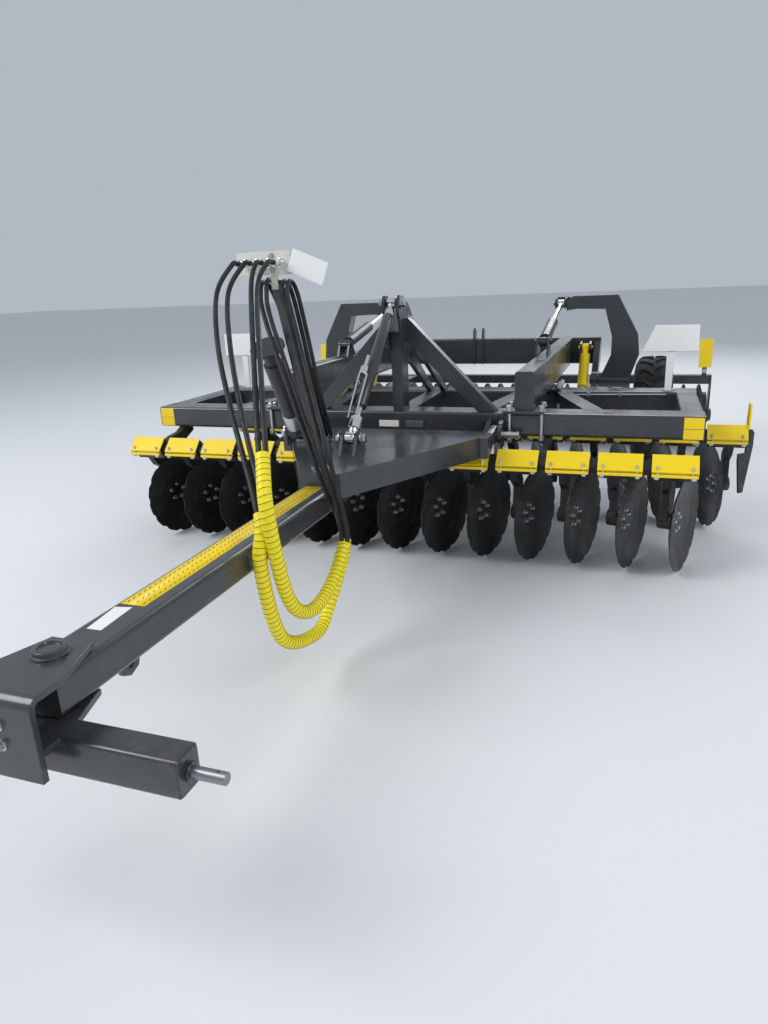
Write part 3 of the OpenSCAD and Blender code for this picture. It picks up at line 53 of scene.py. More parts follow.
# Camera, solved from the photograph's frame lines and guards

CAMERA_PLACE = at(1.2597, -3.5259, 1.4879)
CAMERA_TURN = (0.349154, 0.309910, 0.044113)
FOCAL_PX, PICTURE_H = 718.709, 1024
SENSOR_MM = 24.0


def camera_axes(yaw, pitch, roll):
    """Right, down and forward: forward is +Y turned left by yaw and down by pitch, then rolled."""
    forward = np.array([-math.sin(yaw) * math.cos(pitch), math.cos(yaw) * math.cos(pitch), -math.sin(pitch)])
    right = np.array([math.cos(yaw), math.sin(yaw), 0.0])
    down = np.cross(forward, right)
    c, s = math.cos(roll), math.sin(roll)
    return c * right + s * down, c * down - s * right, forward


def placed(columns, place):
    """A 4 by 4 matrix from three axes and a place."""
    turn = np.eye(4)
    turn[:3, :3] = np.stack(columns, -1)
    turn[:3, 3] = place
    return Matrix(turn.tolist())


def linked(name, data):
    """A new object of the scene, at the origin."""
    obj = bpy.data.objects.new(name, data)
    bpy.context.scene.collection.objects.link(obj)
    return obj


def make_camera():
    """The photograph's view: the lens gives the solved focal length on the sensor's height."""
    data = bpy.data.cameras.new("photo_view")
    data.sensor_fit = "VERTICAL"
    data.sensor_height = SENSOR_MM
    data.lens = FOCAL_PX * SENSOR_MM / PICTURE_H
    data.clip_end = 200.0
    cam = linked("photo_view", data)
    right, down, forward = camera_axes(*CAMERA_TURN)
    cam.matrix_world = placed((right, -down, -forward), CAMERA_PLACE)
    bpy.context.scene.camera = cam


make_camera()


# Mesh tools: every shape is a pair of a vertex array (n, 3) and a list of face arrays (m, sides)

ACROSS, ALONG, UP = np.eye(3)
CHAMFER = 0.0015
MITRE_LIMIT = 0.35
NEARLY_UPRIGHT = 0.9
TINY = 1e-12


def unit(v):
    """Each row divided by its length."""
    v = np.asarray(v, float)
    return v / np.maximum(np.linalg.norm(v, axis=-1, keepdims=True), TINY)


def grid_faces(nu, nv, wrap_u=False, wrap_v=False):
    """Quads between neighbouring points of an nu by nv grid, joined round where wrapped."""
    u = np.arange(nu if wrap_u else nu - 1)[:, None]
    v = np.arange(nv if wrap_v else nv - 1)[None, :]
    u1, v1 = (u + 1) % nu, (v + 1) % nv
    return np.stack([u * nv + v, u1 * nv + v, u1 * nv + v1, u * nv + v1], -1).reshape(-1, 4)


def across(axis):
    """Two directions square to an axis: first = helper x axis, second = axis x first."""
    axis = unit(np.array(axis, float))
    helper = UP if abs(axis[2]) < NEARLY_UPRIGHT else ACROSS
    first = unit(np.cross(helper, axis))
    return first, np.cross(axis, first)


def turned(profile, base, axis, sides=32):
    """Surface of revolution: each (height, radius) of the profile goes round the axis from the base.
    Point = base + height * axis + radius * (cos a * first + sin a * second)."""
    profile = np.array(profile, float)
    axis = unit(np.array(axis, float))
    first, second = across(axis)
    a = np.linspace(0, 2 * np.pi, sides, endpoint=False)
    circle = np.cos(a)[:, None] * first + np.sin(a)[:, None] * second
    points = np.array(base, float) + profile[:, None, :1] * axis + profile[:, None, 1:] * circle[None]
    return points.reshape(-1, 3), [grid_faces(len(profile), sides, wrap_v=True)[:, ::-1]]


def bar(start, end, radius, sides=20):
    """A closed round bar between two places in machine metres, with its end edges cut at 45 degrees."""
    start, end = at(*start), at(*end)
    length = np.linalg.norm(end - start)
    edge = min(CHAMFER, radius / 2, length / 3)
    profile = [(0, 0), (0, radius - edge), (edge, radius),
               (length - edge, radius), (length, radius - edge), (length, 0)]
    return turned(profile, start, end - start, sides)


def frames_along(path):
    """Two sideways directions at each point of a path, without twist: each first one is the one before
    it less its part along the path, and each second one is tangent x first."""
    tangent = unit(np.gradient(path, axis=0))
    first = np.empty_like(path)
    first[0] = across(tangent[0])[0]
    for i in range(1, len(path)):
        first[i] = unit(first[i - 1] - (first[i - 1] @ tangent[i]) * tangent[i])
    return first, np.cross(tangent, first)


def tube(path, radius, sides=12):
    """A closed tube round a path: point = path + radius * (cos a * first + sin a * second).
    The radius is one number, or one for each point of the path and each angle."""
    first, second = frames_along(path)
    a = np.linspace(0, 2 * np.pi, sides, endpoint=False)
    circle = np.cos(a)[None, :, None] * first[:, None] + np.sin(a)[None, :, None] * second[:, None]
    radius = np.broadcast_to(radius, (len(path), sides))
    points = (path[:, None] + radius[..., None] * circle).reshape(-1, 3)
    n, last = len(points), len(points) - sides
    k = np.arange(sides)
    k1 = (k + 1) % sides
    front_cap = np.stack([np.full(sides, n), k1, k], -1)
    rear_cap = np.stack([np.full(sides, n + 1), last + k, last + k1], -1)
    faces = [grid_faces(len(path), sides, wrap_v=True)[:, ::-1], np.concatenate([front_cap, rear_cap])]
    return np.concatenate([points, path[[0, -1]]]), faces


def smooth_path(points, per_span):
    """A Catmull-Rom curve through the points: each span is a cubic of its own ends and their neighbours."""
    p = np.asarray(points, float)
    p = np.concatenate([[2 * p[0] - p[1]], p, [2 * p[-1] - p[-2]]])
    t = np.linspace(0, 1, per_span, endpoint=False)[:, None]
    a, b, c, d = p[:-3, None], p[1:-2, None], p[2:-1, None], p[3:, None]
    curve = 0.5 * (2 * b + (c - a) * t + (2 * a - 5 * b + 4 * c - d) * t ** 2
                   + (3 * b - a - 3 * c + d) * t ** 3)
    return np.concatenate([curve.reshape(-1, 3), p[-2:-1]])


def lengths_along(path):
    """The path's length up to each of its points."""
    return np.concatenate([[0], np.cumsum(np.linalg.norm(np.diff(path, axis=0), axis=1))])


def resampled(path, step):
    """The same route with points at even steps of its length."""
    s = lengths_along(path)
    even = np.linspace(0, s[-1], max(int(s[-1] / step), 2))
    return np.stack([np.interp(even, s, path[:, i]) for i in range(3)], -1)


def slab(outline, thickness, origin, u_axis, v_axis, edge=CHAMFER):
    """A plate: an outline in two directions, drawn in by the edge at both faces for a chamfered rim.
    Rings = outline offset along its mitred normals at four heights; both ends are closed by one face."""
    o = np.array(outline, float)
    if np.sum(o[:, 0] * np.roll(o[:, 1], -1) - np.roll(o[:, 0], -1) * o[:, 1]) < 0:
        o = o[::-1]
    e = unit(np.roll(o, -1, 0) - o)
    n = np.stack([e[:, 1], -e[:, 0]], -1)
    mitre = n + np.roll(n, 1, 0)
    mitre = mitre / np.maximum((mitre * n).sum(-1, keepdims=True), MITRE_LIMIT)
    inner = o - edge * mitre
    u_axis, v_axis = unit(u_axis), unit(v_axis)
    w_axis = np.cross(u_axis, v_axis)
    edge_z = min(edge, thickness / 3)
    origin = np.array(origin, float)
    rings = [(inner, 0.0), (o, edge_z), (o, thickness - edge_z), (inner, thickness)]
    points = [origin + r[:, :1] * u_axis + r[:, 1:] * v_axis + z * w_axis for r, z in rings]
    m = len(o)
    sides = grid_faces(4, m, wrap_v=True)[:, ::-1]
    return np.concatenate(points), [sides, np.arange(m)[None, ::-1], (3 * m + np.arange(m))[None]]


def block(low, high, edge=CHAMFER):
    """A box between two corners in machine metres, chamfered at its top and bottom."""
    size = np.array(high, float) - np.array(low, float)
    outline = [(0, 0), (size[0], 0), (size[0], size[1]), (0, size[1])]
    return slab(outline, size[2], at(*low), ACROSS, ALONG, edge)


def upright(outline, x, thickness, edge=CHAMFER):
    """A plate whose outline is given as (Y, Z), with its left face at x."""
    return slab(outline, thickness, at(x, 0, 0), ALONG, UP, edge)


def facing(outline, y, thickness):
    """A plate whose outline is given as (X, Z), with its front face at y and its thickness to the rear."""
    return slab([(-x, z) for x, z in outline], thickness, at(0, y, 0), -ACROSS, UP)


def ring(inner, outer, width, place, axis, edge=0.002):
    """A flat ring of square section: its profile runs round both faces and both walls."""
    half = width / 2
    profile = [(-half, inner), (-half, outer - edge), (-half + edge, outer), (half - edge, outer),
               (half, outer - edge), (half, inner), (-half, inner)]
    return turned(profile, at(*place), axis)


def copies(shape, places, axis):
    """The same shape at each place, with its own +Z turned to the axis: point = turn @ point + place.
    The columns of the turn are two directions across the axis, and the axis."""
    points, faces = shape
    first, second = across(axis)
    turn = np.stack([first, second, unit(axis)], -1)
    moved = np.einsum("ij,nj->ni", turn, points)[None] + np.asarray(places, float)[:, None]
    shift = (np.arange(len(places)) * len(points))[:, None, None]
    return moved.reshape(-1, 3), [(f[None] + shift).reshape(-1, f.shape[-1]) for f in faces]


def joined(*shapes):
    """Several shapes as one, their face numbers moved on by the points before them."""
    points, faces, count = [], [], 0
    for p, f in shapes:
        points.append(p)
        faces += [np.asarray(g) + count for g in f]
        count += len(p)
    return np.concatenate(points), faces


def mirrored(shape):
    """The same shape on the machine's other side, with its faces turned round again."""
    points, faces = shape
    points = points.copy()
    points[:, 0] = 2 * MACHINE[0] - points[:, 0]
    return points, [f[:, ::-1] for f in faces]


def both(shape):
    """A shape and its mirror image."""
    return joined(shape, mirrored(shape))


# Shares of a bolt's size: the heights of its head and washer, and shares of its radius and head
BOLT_HEAD, FLAT_HEAD, WASHER_T = 0.62, 0.4, 0.12
WASHER_R, TOP_R, TOP_START = 1.35, 0.86, 0.85


def bolt(size, head=BOLT_HEAD):
    """A hexagon head with a chamfered top on a round washer, standing on z = 0 along +Z.
    The size is the width across corners, and the head's height is a share of it."""
    r, h, base = size / 2, size * head, size * WASHER_T
    hexagon = [(base, 0), (base, r), (base + h * TOP_START, r), (base + h, r * TOP_R), (base + h, 0)]
    washer = [(0, 0), (0, r * WASHER_R), (base, r * WASHER_R), (base, 0)]
    return joined(turned(hexagon, (0, 0, 0), UP, 6), turned(washer, (0, 0, 0), UP, 16))


def bolts(places, axis, size, head=BOLT_HEAD):
    """One hexagon bolt at each place in machine metres, all standing along one axis."""
    return copies(bolt(size, head), [at(*p) for p in places], axis)


def piece(name, shape, finish, body, smooth=38.0, hides=()):
    """Puts a shape into a mesh object, gives it its finish, and lets it ride on a body."""
    points, faces = shape
    mesh = bpy.data.meshes.new(name)
    mesh.vertices.add(len(points))
    mesh.vertices.foreach_set("co", np.asarray(points, np.float32).ravel())
    loops = np.concatenate([np.asarray(f).ravel() for f in faces]).astype(np.int32)
    sizes = np.concatenate([np.full(len(f), f.shape[-1]) for f in faces])
    mesh.loops.add(len(loops))
    mesh.loops.foreach_set("vertex_index", loops)
    mesh.polygons.add(len(sizes))
    mesh.polygons.foreach_set("loop_start", (np.cumsum(sizes) - sizes).astype(np.int32))
    mesh.update(calc_edges=True)
    mesh.validate()
    mesh.materials.append(finish)
    obj = linked(name, mesh)
    mesh.shade_smooth()
    mesh.set_sharp_from_angle(angle=math.radians(smooth))
    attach(obj, body)
    if hides:
        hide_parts(*hides)
    return obj


# Finishes: a scale sets the noise's size, and a range is the part of the noise that is stretched

PATCH_SCALE, SPECK_SCALE, WANDER_SCALE, PEEL_SCALE = 2.2, 90.0, 6.0, 260.0
PATCH_RANGE, SPECK_RANGE, WANDER_RANGE = (0.42, 0.68), (0.60, 0.72), (0.35, 0.7)
SPLASH_SCALE, SPLASH_RANGE, SPLASH_HEIGHTS, SPLASH_MOST = 22.0, (0.52, 0.66), (0.05, 0.75), 0.85
DUST_SCALE, GRIP_SCALE, GRAIN_SCALE = 9.0, 40.0, 420.0
DUST_RANGE, GRIP_RANGE, DUST_MOST = (0.45, 0.75), (0.3, 0.7), 0.55
BUMP_HEIGHT, COAT_ROUGHNESS, SMOOTHEST = 0.001, 0.12, 0.04
SMOOTHER, ROUGHER, GRIP_SMOOTHER, GRIP_ROUGHER = 0.08, 0.12, 0.1, 0.15
GRAIN_BUMP, RUBBER_SHINE = 0.25, 0.35


def shader(name):
    """A new material, its node tree and its principled shader."""
    mat = bpy.data.materials.new(name)
    mat.use_nodes = True
    return mat, mat.node_tree, mat.node_tree.nodes["Principled BSDF"]


def noise(tree, scale, detail, rough=0.55):
    """Noise on the object's own coordinates."""
    where = tree.nodes.new("ShaderNodeTexCoord")
    tex = tree.nodes.new("ShaderNodeTexNoise")
    tex.inputs["Scale"].default_value = scale
    tex.inputs["Detail"].default_value = detail
    tex.inputs["Roughness"].default_value = rough
    tree.links.new(where.outputs["Object"], tex.inputs["Vector"])
    return tex.outputs["Fac"]


def spread(tree, value, low, high, to_low, to_high):
    """Stretches a value from low..high to another range, held at its ends."""
    node = tree.nodes.new("ShaderNodeMapRange")
    node.inputs["From Min"].default_value = low
    node.inputs["From Max"].default_value = high
    node.inputs["To Min"].default_value = to_low
    node.inputs["To Max"].default_value = to_high
    tree.links.new(value, node.inputs["Value"])
    return node.outputs["Result"]


def blend_colour(tree, factor, first, second):
    """Mixes two colours, or a colour over a link, by a factor."""
    node = tree.nodes.new("ShaderNodeMix")
    node.data_type = "RGBA"
    tree.links.new(factor, node.inputs["Factor"])
    for socket, value in ((node.inputs[6], first), (node.inputs[7], second)):
        if isinstance(value, tuple):
            socket.default_value = (*value, 1.0)
        else:
            tree.links.new(value, socket)
    return node.outputs[2]


def bumps(tree, height, strength):
    """A bump node fed by a height."""
    node = tree.nodes.new("ShaderNodeBump")
    node.inputs["Strength"].default_value = strength
    node.inputs["Distance"].default_value = BUMP_HEIGHT
    tree.links.new(height, node.inputs["Height"])
    return node


def splashed(tree, colour, splash):
    """Dried splashes over a colour: noise spots whose share falls from the floor up."""
    height = tree.nodes.new("ShaderNodeSeparateXYZ")
    where = tree.nodes.new("ShaderNodeTexCoord")
    tree.links.new(where.outputs["Object"], height.inputs[0])
    low = spread(tree, height.outputs["Z"], *SPLASH_HEIGHTS, SPLASH_MOST, 0.0)
    spots = spread(tree, noise(tree, SPLASH_SCALE, 6.0, 0.7), *SPLASH_RANGE, 0.0, 1.0)
    share = tree.nodes.new("ShaderNodeMath")
    share.operation = "MULTIPLY"
    tree.links.new(low, share.inputs[0])
    tree.links.new(spots, share.inputs[1])
    return blend_colour(tree, share.outputs[0], colour, splash)


def paint(name, colour, worn, roughness, metallic=0.0, patch=0.35, fine=0.12, bump=0.15, coat=0.0,
          edge=0.0025, splash=None):
    """Painted or bare metal: broad patches and fine specks of a second colour, roughness that wanders,
    a faint orange-peel bump, rounded-looking edges, and dried splashes near the floor where asked."""
    mat, tree, bsdf = shader(name)
    bsdf.inputs["Metallic"].default_value = metallic
    bsdf.inputs["Coat Weight"].default_value = coat
    bsdf.inputs["Coat Roughness"].default_value = COAT_ROUGHNESS
    broad = spread(tree, noise(tree, PATCH_SCALE, 5.0), *PATCH_RANGE, 0.0, patch)
    colour_out = blend_colour(tree, broad, colour, worn)
    specks = spread(tree, noise(tree, SPECK_SCALE, 3.0), *SPECK_RANGE, 0.0, fine)
    colour_out = blend_colour(tree, specks, colour_out, worn)
    if splash:
        colour_out = splashed(tree, colour_out, splash)
    tree.links.new(colour_out, bsdf.inputs["Base Color"])
    smooth = max(roughness - SMOOTHER, SMOOTHEST)
    wander = spread(tree, noise(tree, WANDER_SCALE, 4.0), *WANDER_RANGE, smooth, roughness + ROUGHER)
    tree.links.new(wander, bsdf.inputs["Roughness"])
    rounded_edge = tree.nodes.new("ShaderNodeBevel")
    rounded_edge.samples = 4
    rounded_edge.inputs["Radius"].default_value = edge
    peel = bumps(tree, noise(tree, PEEL_SCALE, 2.0), bump)
    tree.links.new(rounded_edge.outputs["Normal"], peel.inputs["Normal"])
    tree.links.new(peel.outputs["Normal"], bsdf.inputs["Normal"])
    return mat


def rubber(name, colour, dusty, roughness):
    """Rubber: a dark base with pale dust in noise patches and a grainy bump."""
    mat, tree, bsdf = shader(name)
    bsdf.inputs["Specular IOR Level"].default_value = RUBBER_SHINE
    dust = spread(tree, noise(tree, DUST_SCALE, 6.0, 0.65), *DUST_RANGE, 0.0, DUST_MOST)
    tree.links.new(blend_colour(tree, dust, colour, dusty), bsdf.inputs["Base Color"])
    smooth, rough = roughness - GRIP_SMOOTHER, roughness + GRIP_ROUGHER
    wander = spread(tree, noise(tree, GRIP_SCALE, 3.0), *GRIP_RANGE, smooth, rough)
    tree.links.new(wander, bsdf.inputs["Roughness"])
    grain = bumps(tree, noise(tree, GRAIN_SCALE, 2.0), GRAIN_BUMP)
    tree.links.new(grain.outputs["Normal"], bsdf.inputs["Normal"])
    return mat


FRAME = paint("frame_paint", (0.031, 0.034, 0.038), (0.060, 0.063, 0.066), 0.27, patch=0.45, fine=0.15,
              coat=0.35, splash=(0.16, 0.12, 0.08))
DARK = paint("dark_paint", (0.022, 0.023, 0.026), (0.05, 0.05, 0.052), 0.34, coat=0.2)
CASTING = paint("dark_casting", (0.018, 0.019, 0.021), (0.045, 0.043, 0.040), 0.42, bump=0.5,
                splash=(0.14, 0.10, 0.07))
DISC = paint("disc_paint", (0.007, 0.007, 0.008), (0.020, 0.019, 0.018), 0.38, patch=0.4, coat=0.10,
             edge=0.001, splash=(0.06, 0.045, 0.03))
YELLOW = paint("yellow_paint", (0.95, 0.68, 0.004), (0.88, 0.60, 0.006), 0.36, patch=0.4, fine=0.10,
               coat=0.12)
WHITE = paint("white_board", (0.86, 0.86, 0.84), (0.76, 0.76, 0.74), 0.42)
CREAM = paint("cream_paint", (0.70, 0.68, 0.62), (0.52, 0.50, 0.44), 0.38)
RIM = paint("rim_paint", (0.55, 0.56, 0.57), (0.42, 0.42, 0.42), 0.4, splash=(0.20, 0.15, 0.10))
ZINC = paint("zinc_plate", (0.62, 0.63, 0.64), (0.42, 0.43, 0.44), 0.30, metallic=1.0, patch=0.7,
             fine=0.3, bump=0.1, edge=0.001)
CHROME = paint("chrome_plate", (0.80, 0.81, 0.82), (0.70, 0.71, 0.72), 0.12, metallic=1.0, patch=0.2,
               fine=0.05, bump=0.02, edge=0.001)
STEEL = paint("plain_steel", (0.30, 0.31, 0.32), (0.18, 0.18, 0.18), 0.36, metallic=1.0, patch=0.6,
              bump=0.1, edge=0.001)
ROLLER = paint("roller_paint", (0.020, 0.021, 0.023), (0.06, 0.05, 0.04), 0.40, splash=(0.16, 0.12, 0.08))
HOSE = rubber("hose_rubber", (0.014, 0.014, 0.015), (0.06, 0.06, 0.06), 0.45)
TYRE = rubber("tyre_rubber", (0.016, 0.016, 0.016), (0.10, 0.095, 0.085), 0.75)
SLEEVE = paint("sleeve_plastic", (0.97, 0.81, 0.004), (0.93, 0.74, 0.008), 0.42, patch=0.3, bump=0.05,
               edge=0.0008)

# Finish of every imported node, the same on the left and the right: the others are hoses and discs

NODE_FINISH = {
    "main_frame": FRAME, "upper_frame": FRAME, "mast": FRAME, "drawbar": FRAME, "hitch_head": FRAME,
    "roller_frame": FRAME, "wheel_arm": FRAME, "carriers": CASTING, "arms": CASTING, "shields": YELLOW,
    "roller": ROLLER, "roller_barrel": YELLOW, "lift_barrel": DARK, "parking_stand": DARK,
    "drawbar_pins": ZINC, "turnbuckle_body": ZINC, "turnbuckle_screw": ZINC, "roller_rod": CHROME,
    "lift_rod": CHROME, "hose_holder": CREAM, "marker_boards": WHITE, "wheel": RIM, "tyre": TYRE}

for name, obj in NODES.items():
    plain_name = name.removeprefix("left_").removeprefix("right_")
    finish = NODE_FINISH.get(plain_name, HOSE if name.startswith("hose_") else DISC)
    obj.data.materials.clear()
    obj.data.materials.append(finish)


# Hoses: four cords that hang over the drawbar, their routes in millimetres as in the part's source

HOSE_R, HOSE_SPAN = 0.010, 10
HOLDER_FACE = -0.628
COUPLING_LEN, COUPLING_Z = 0.072, 1.583
COUPLING_X = [-0.373, -0.319, -0.265, -0.211]
FITTING_X = [-0.272, -0.248, -0.216, -0.192]
FITTING_Y, FITTING_Z = -0.262, 0.758
PAIR_STEP = 26
LOW_LOOP = [(94, -1545, 780), (94, -1580, 600), (94, -1480, 290), (94, -1216, 172), (94, -1070, 225),
            (112, -900, 465), (80, -1000, 740), (-50, -900, 980)]
HIGH_LOOP = [(144, -1590, 790), (144, -1505, 470), (144, -1366, 345), (144, -1192, 345), (144, -1040, 430),
             (140, -975, 540), (110, -1040, 850), (-2, -900, 1050)]
HOSE_HEAD = [
    [(-378, -745, 1580), (-400, -850, 1470), (-290, -1060, 1280), (-112, -1300, 1060)],
    [(-322, -745, 1580), (-346, -850, 1470), (-236, -1060, 1280), (-72, -1300, 1060)],
    [(-266, -745, 1580), (-240, -850, 1480), (-34, -1250, 1200), (90, -1490, 966)],
    [(-214, -745, 1580), (-212, -850, 1480), (-8, -1250, 1200), (116, -1490, 966)]]
HOSE_TAIL = [
    [(-262, -712, 1350), (-300, -662, 1470), (-312, -600, 1508), (-308, -535, 1460),
     (-280, -470, 1280), (-272, -350, 960)],
    [(-234, -712, 1350), (-272, -662, 1470), (-286, -600, 1518), (-284, -530, 1460),
     (-254, -460, 1280), (-248, -350, 960)],
    [(-170, -690, 1370), (-204, -655, 1460), (-214, -600, 1508), (-216, -535, 1460),
     (-216, -460, 1280), (-216, -350, 960)],
    [(-144, -690, 1370), (-178, -655, 1460), (-188, -600, 1508), (-190, -535, 1460),
     (-192, -460, 1280), (-192, -350, 960)]]


def hose_route(k):
    """The points of hose k, from its coupling through its hanging loop to its fitting on the drawbar."""
    loop = LOW_LOOP if k < 2 else HIGH_LOOP
    shift = PAIR_STEP * (k % 2)
    middle = [(x + shift, y, z) for x, y, z in loop]
    points = np.array(HOSE_HEAD[k] + middle + HOSE_TAIL[k], float) / 1000 + MACHINE
    start = at(COUPLING_X[k], HOLDER_FACE - COUPLING_LEN, COUPLING_Z)
    return np.concatenate([[start], points, [at(FITTING_X[k], FITTING_Y, FITTING_Z)]])


def make_hoses():
    """Each hose as a tube round its smooth route, with the imported hose hidden; the routes are returned."""
    routes = []
    for k in range(4):
        path = smooth_path(hose_route(k), HOSE_SPAN)
        hose = piece(f"hose_{k + 1}_skin", tube(path, HOSE_R, 14), HOSE, "drawbar", 60,
                     [f"hose_{k + 1}"])
        routes.append(path)
    return routes


ROUTES = make_hoses()


# Bolts round the hollow side of each disc, five on a circle

DISC_ANGLE = math.radians(17.0)
HUB_Z, HUB_SIDE, DISC_FACE = 0.255, 0.025, 0.006
FRONT_Y, REAR_Y = 0.250, 1.035
FRONT_SHIFT, REAR_SHIFT = -0.060, 0.235
PITCH, UNITS = 0.250, 13
FRONT_X = [FRONT_SHIFT + (k - 6) * PITCH + HUB_SIDE for k in range(UNITS)]
REAR_X = [REAR_SHIFT + (k - 6) * PITCH - HUB_SIDE for k in range(UNITS)]
BOLT_CIRCLE, DISC_BOLT, TALL_HEAD = 0.0475, 0.021, 0.75
BOLT_ANGLES = np.radians(90 + 72 * np.arange(5))[:, None]


def disc_bolts(place, axis):
    """Five bolts evenly round the axis of a disc, on its hollow side."""
    first, second = across(axis)
    circle = np.cos(BOLT_ANGLES) * first + np.sin(BOLT_ANGLES) * second
    return copies(bolt(DISC_BOLT, TALL_HEAD), place + DISC_FACE * axis + BOLT_CIRCLE * circle, axis)


for row, xs, y, side in (("front", FRONT_X, FRONT_Y, 1), ("rear", REAR_X, REAR_Y, -1)):
    axis = np.array([side * math.cos(DISC_ANGLE), -math.sin(DISC_ANGLE), 0.0])
    for k, x in enumerate(xs, 1):
        piece(f"{row}_disc_{k}_bolts", disc_bolts(at(x, y, HUB_Z), axis), ZINC, f"{row}_disc_{k}")


# Yellow sleeves wound round each pair of hoses, with a dark line between the turns

SLEEVE_R, SLEEVE_PITCH, SLEEVE_STEP = 0.0245, 0.021, 0.0025
GROOVE, GROOVE_WIDTH, SLEEVE_END = 0.0016, 0.07, 0.004
LINE_STEP, LINE_INSET, LINE_R = 0.0009, 12, 0.0011
SLEEVES = {"low": (0, (0.107, -1.545, 0.770), (0.125, -0.900, 0.455)),
           "high": (2, (0.115, -1.450, 0.955), (0.150, -0.975, 0.470))}


def stretch_of(pair, top, bottom):
    """The middle line of a pair of hoses between the points nearest to two places."""
    one, other = ROUTES[pair], ROUTES[pair + 1]
    middle = (one[:len(other)] + other[:len(one)]) / 2
    i, j = [np.argmin(np.linalg.norm(middle - at(*place), axis=1)) for place in (top, bottom)]
    return resampled(middle[i:j + 1], SLEEVE_STEP)


def wound_sleeve(path, sides=20):
    """A tube of wound strip. The radius dips in a screw groove: r = radius - groove * exp(-(d / width)^2),
    where d is how far the part of a turn, s / pitch - a / 2 pi, lies from one half."""
    a = np.linspace(0, 2 * np.pi, sides, endpoint=False)
    d = (lengths_along(path)[:, None] / SLEEVE_PITCH - a[None] / (2 * np.pi)) % 1.0 - 0.5
    r = SLEEVE_R - GROOVE * np.exp(-(d / GROOVE_WIDTH) ** 2)
    r[[0, -1]] -= SLEEVE_END
    return tube(path, r, sides)


def sleeve_line(path):
    """The dark line between two turns: a thin tube on the screw line a = 2 pi s / pitch - pi."""
    path = resampled(path, LINE_STEP)[LINE_INSET:-LINE_INSET]
    first, second = frames_along(path)
    a = 2 * np.pi * (lengths_along(path) / SLEEVE_PITCH - 0.5)
    return tube(path + SLEEVE_R * (np.cos(a)[:, None] * first + np.sin(a)[:, None] * second), LINE_R, 6)


for name, (pair, top, bottom) in SLEEVES.items():
    stretch = stretch_of(pair, top, bottom)
    piece(f"{name}_sleeve", wound_sleeve(stretch), SLEEVE, "drawbar", 60)
    piece(f"{name}_sleeve_line", sleeve_line(stretch), DARK, "drawbar")


# Hose holder: painted post, chrome couplings, a blank tag and two bolts

POST_X, POST_HALF, POST_FOOT, POST_TOP = -0.252, 0.0207, (-0.315, 0.731), (-0.600, 1.515)
COUPLING = [(0, 0.0), (0, 0.019), (0.012, 0.019), (0.013, 0.0165), (0.040, 0.0165), (0.041, 0.0185),
            (0.056, 0.0185), (0.058, 0.0160), (0.0725, 0.0160), (0.0725, 0.009), (0.0740, 0.009),
            (0.0740, 0.0)]
TAG_PLACE, TAG_LEAN = (-0.145, -0.638, 1.637), (0.159, 0.0, -0.066)
TAG_LONG, TAG_HIGH, TAG_THICK = 0.172, 0.096, 0.0015
HOLDER_BOLT_Z, HOLDER_BOLT = (1.553, 1.613), 0.018


def post_shell():
    """The leaning post's painted skin, a hair wider than the post on every side."""
    (y0, z0), (y1, z1) = POST_FOOT, POST_TOP
    outline = [(y0 - POST_HALF, z0), (y0 + POST_HALF, z0), (y1 + POST_HALF, z1), (y1 - POST_HALF, z1)]
    return upright(outline, POST_X - POST_HALF, 2 * POST_HALF)


def blank_tag():
    """A blank plate that hangs askew at the holder's right end."""
    u = unit(TAG_LEAN)
    outline = [(0, 0), (TAG_LONG, 0), (TAG_LONG, TAG_HIGH), (0, TAG_HIGH)]
    return slab(outline, TAG_THICK, at(*TAG_PLACE), u, -np.cross(u, ALONG), 0.0004)


COUPLINGS = [turned(COUPLING, at(x, HOLDER_FACE, COUPLING_Z), -ALONG, 24) for x in COUPLING_X]
HOLDER_BOLTS = bolts([(POST_X, HOLDER_FACE, z) for z in HOLDER_BOLT_Z], -ALONG, HOLDER_BOLT)
piece("holder_post", post_shell(), FRAME, "drawbar")
piece("hose_couplings", joined(*COUPLINGS), CHROME, "drawbar")
piece("holder_tag", blank_tag(), WHITE, "drawbar")
piece("holder_bolts", HOLDER_BOLTS, ZINC, "drawbar")


# Drawbar: yellow strip with slanted ticks, blank label, the box's cap, pin ends and hose fittings

TONGUE_TOP, STRIP_TOP, BOX_TOP = 0.675, 0.6757, 0.7300
FOOT_PIN, STAND_PIN = (-0.470, 0.800), (-0.330, 0.790)
TICK_X, TICK_Y, TICK_SHIFT = (-0.040, -0.014, 0.012), np.arange(-2.052, -0.885, 0.024), 0.006
TICK_PLACES = [at(x, y + TICK_SHIFT * (k % 2), STRIP_TOP) for k, x in enumerate(TICK_X) for y in TICK_Y]
TICK = slab([(-0.0075, -0.0040), (-0.0075, -0.0018), (0.0075, 0.0040), (0.0075, 0.0018)], 0.0005,
            (0, 0, 0), ACROSS, ALONG, 0.0001)
LABEL = slab([(-0.054, -2.092), (-0.004, -2.082), (0.006, -2.220), (-0.039, -2.221)], 0.0006,
             at(0, 0, TONGUE_TOP), ACROSS, ALONG, 0.0002)
CAP_PLACE = (-0.020, -0.765, BOX_TOP)
CAP = [(0, 0.0), (0, 0.048), (0.004, 0.049), (0.009, 0.047), (0.011, 0.042), (0.011, 0.014),
       (0.018, 0.013), (0.019, 0.0)]
FITTING_NUT = [(0, 0.0), (0, 0.0145), (0.014, 0.0145), (0.015, 0.0125), (0.034, 0.0125),
               (0.036, 0.0105), (0.036, 0.0)]


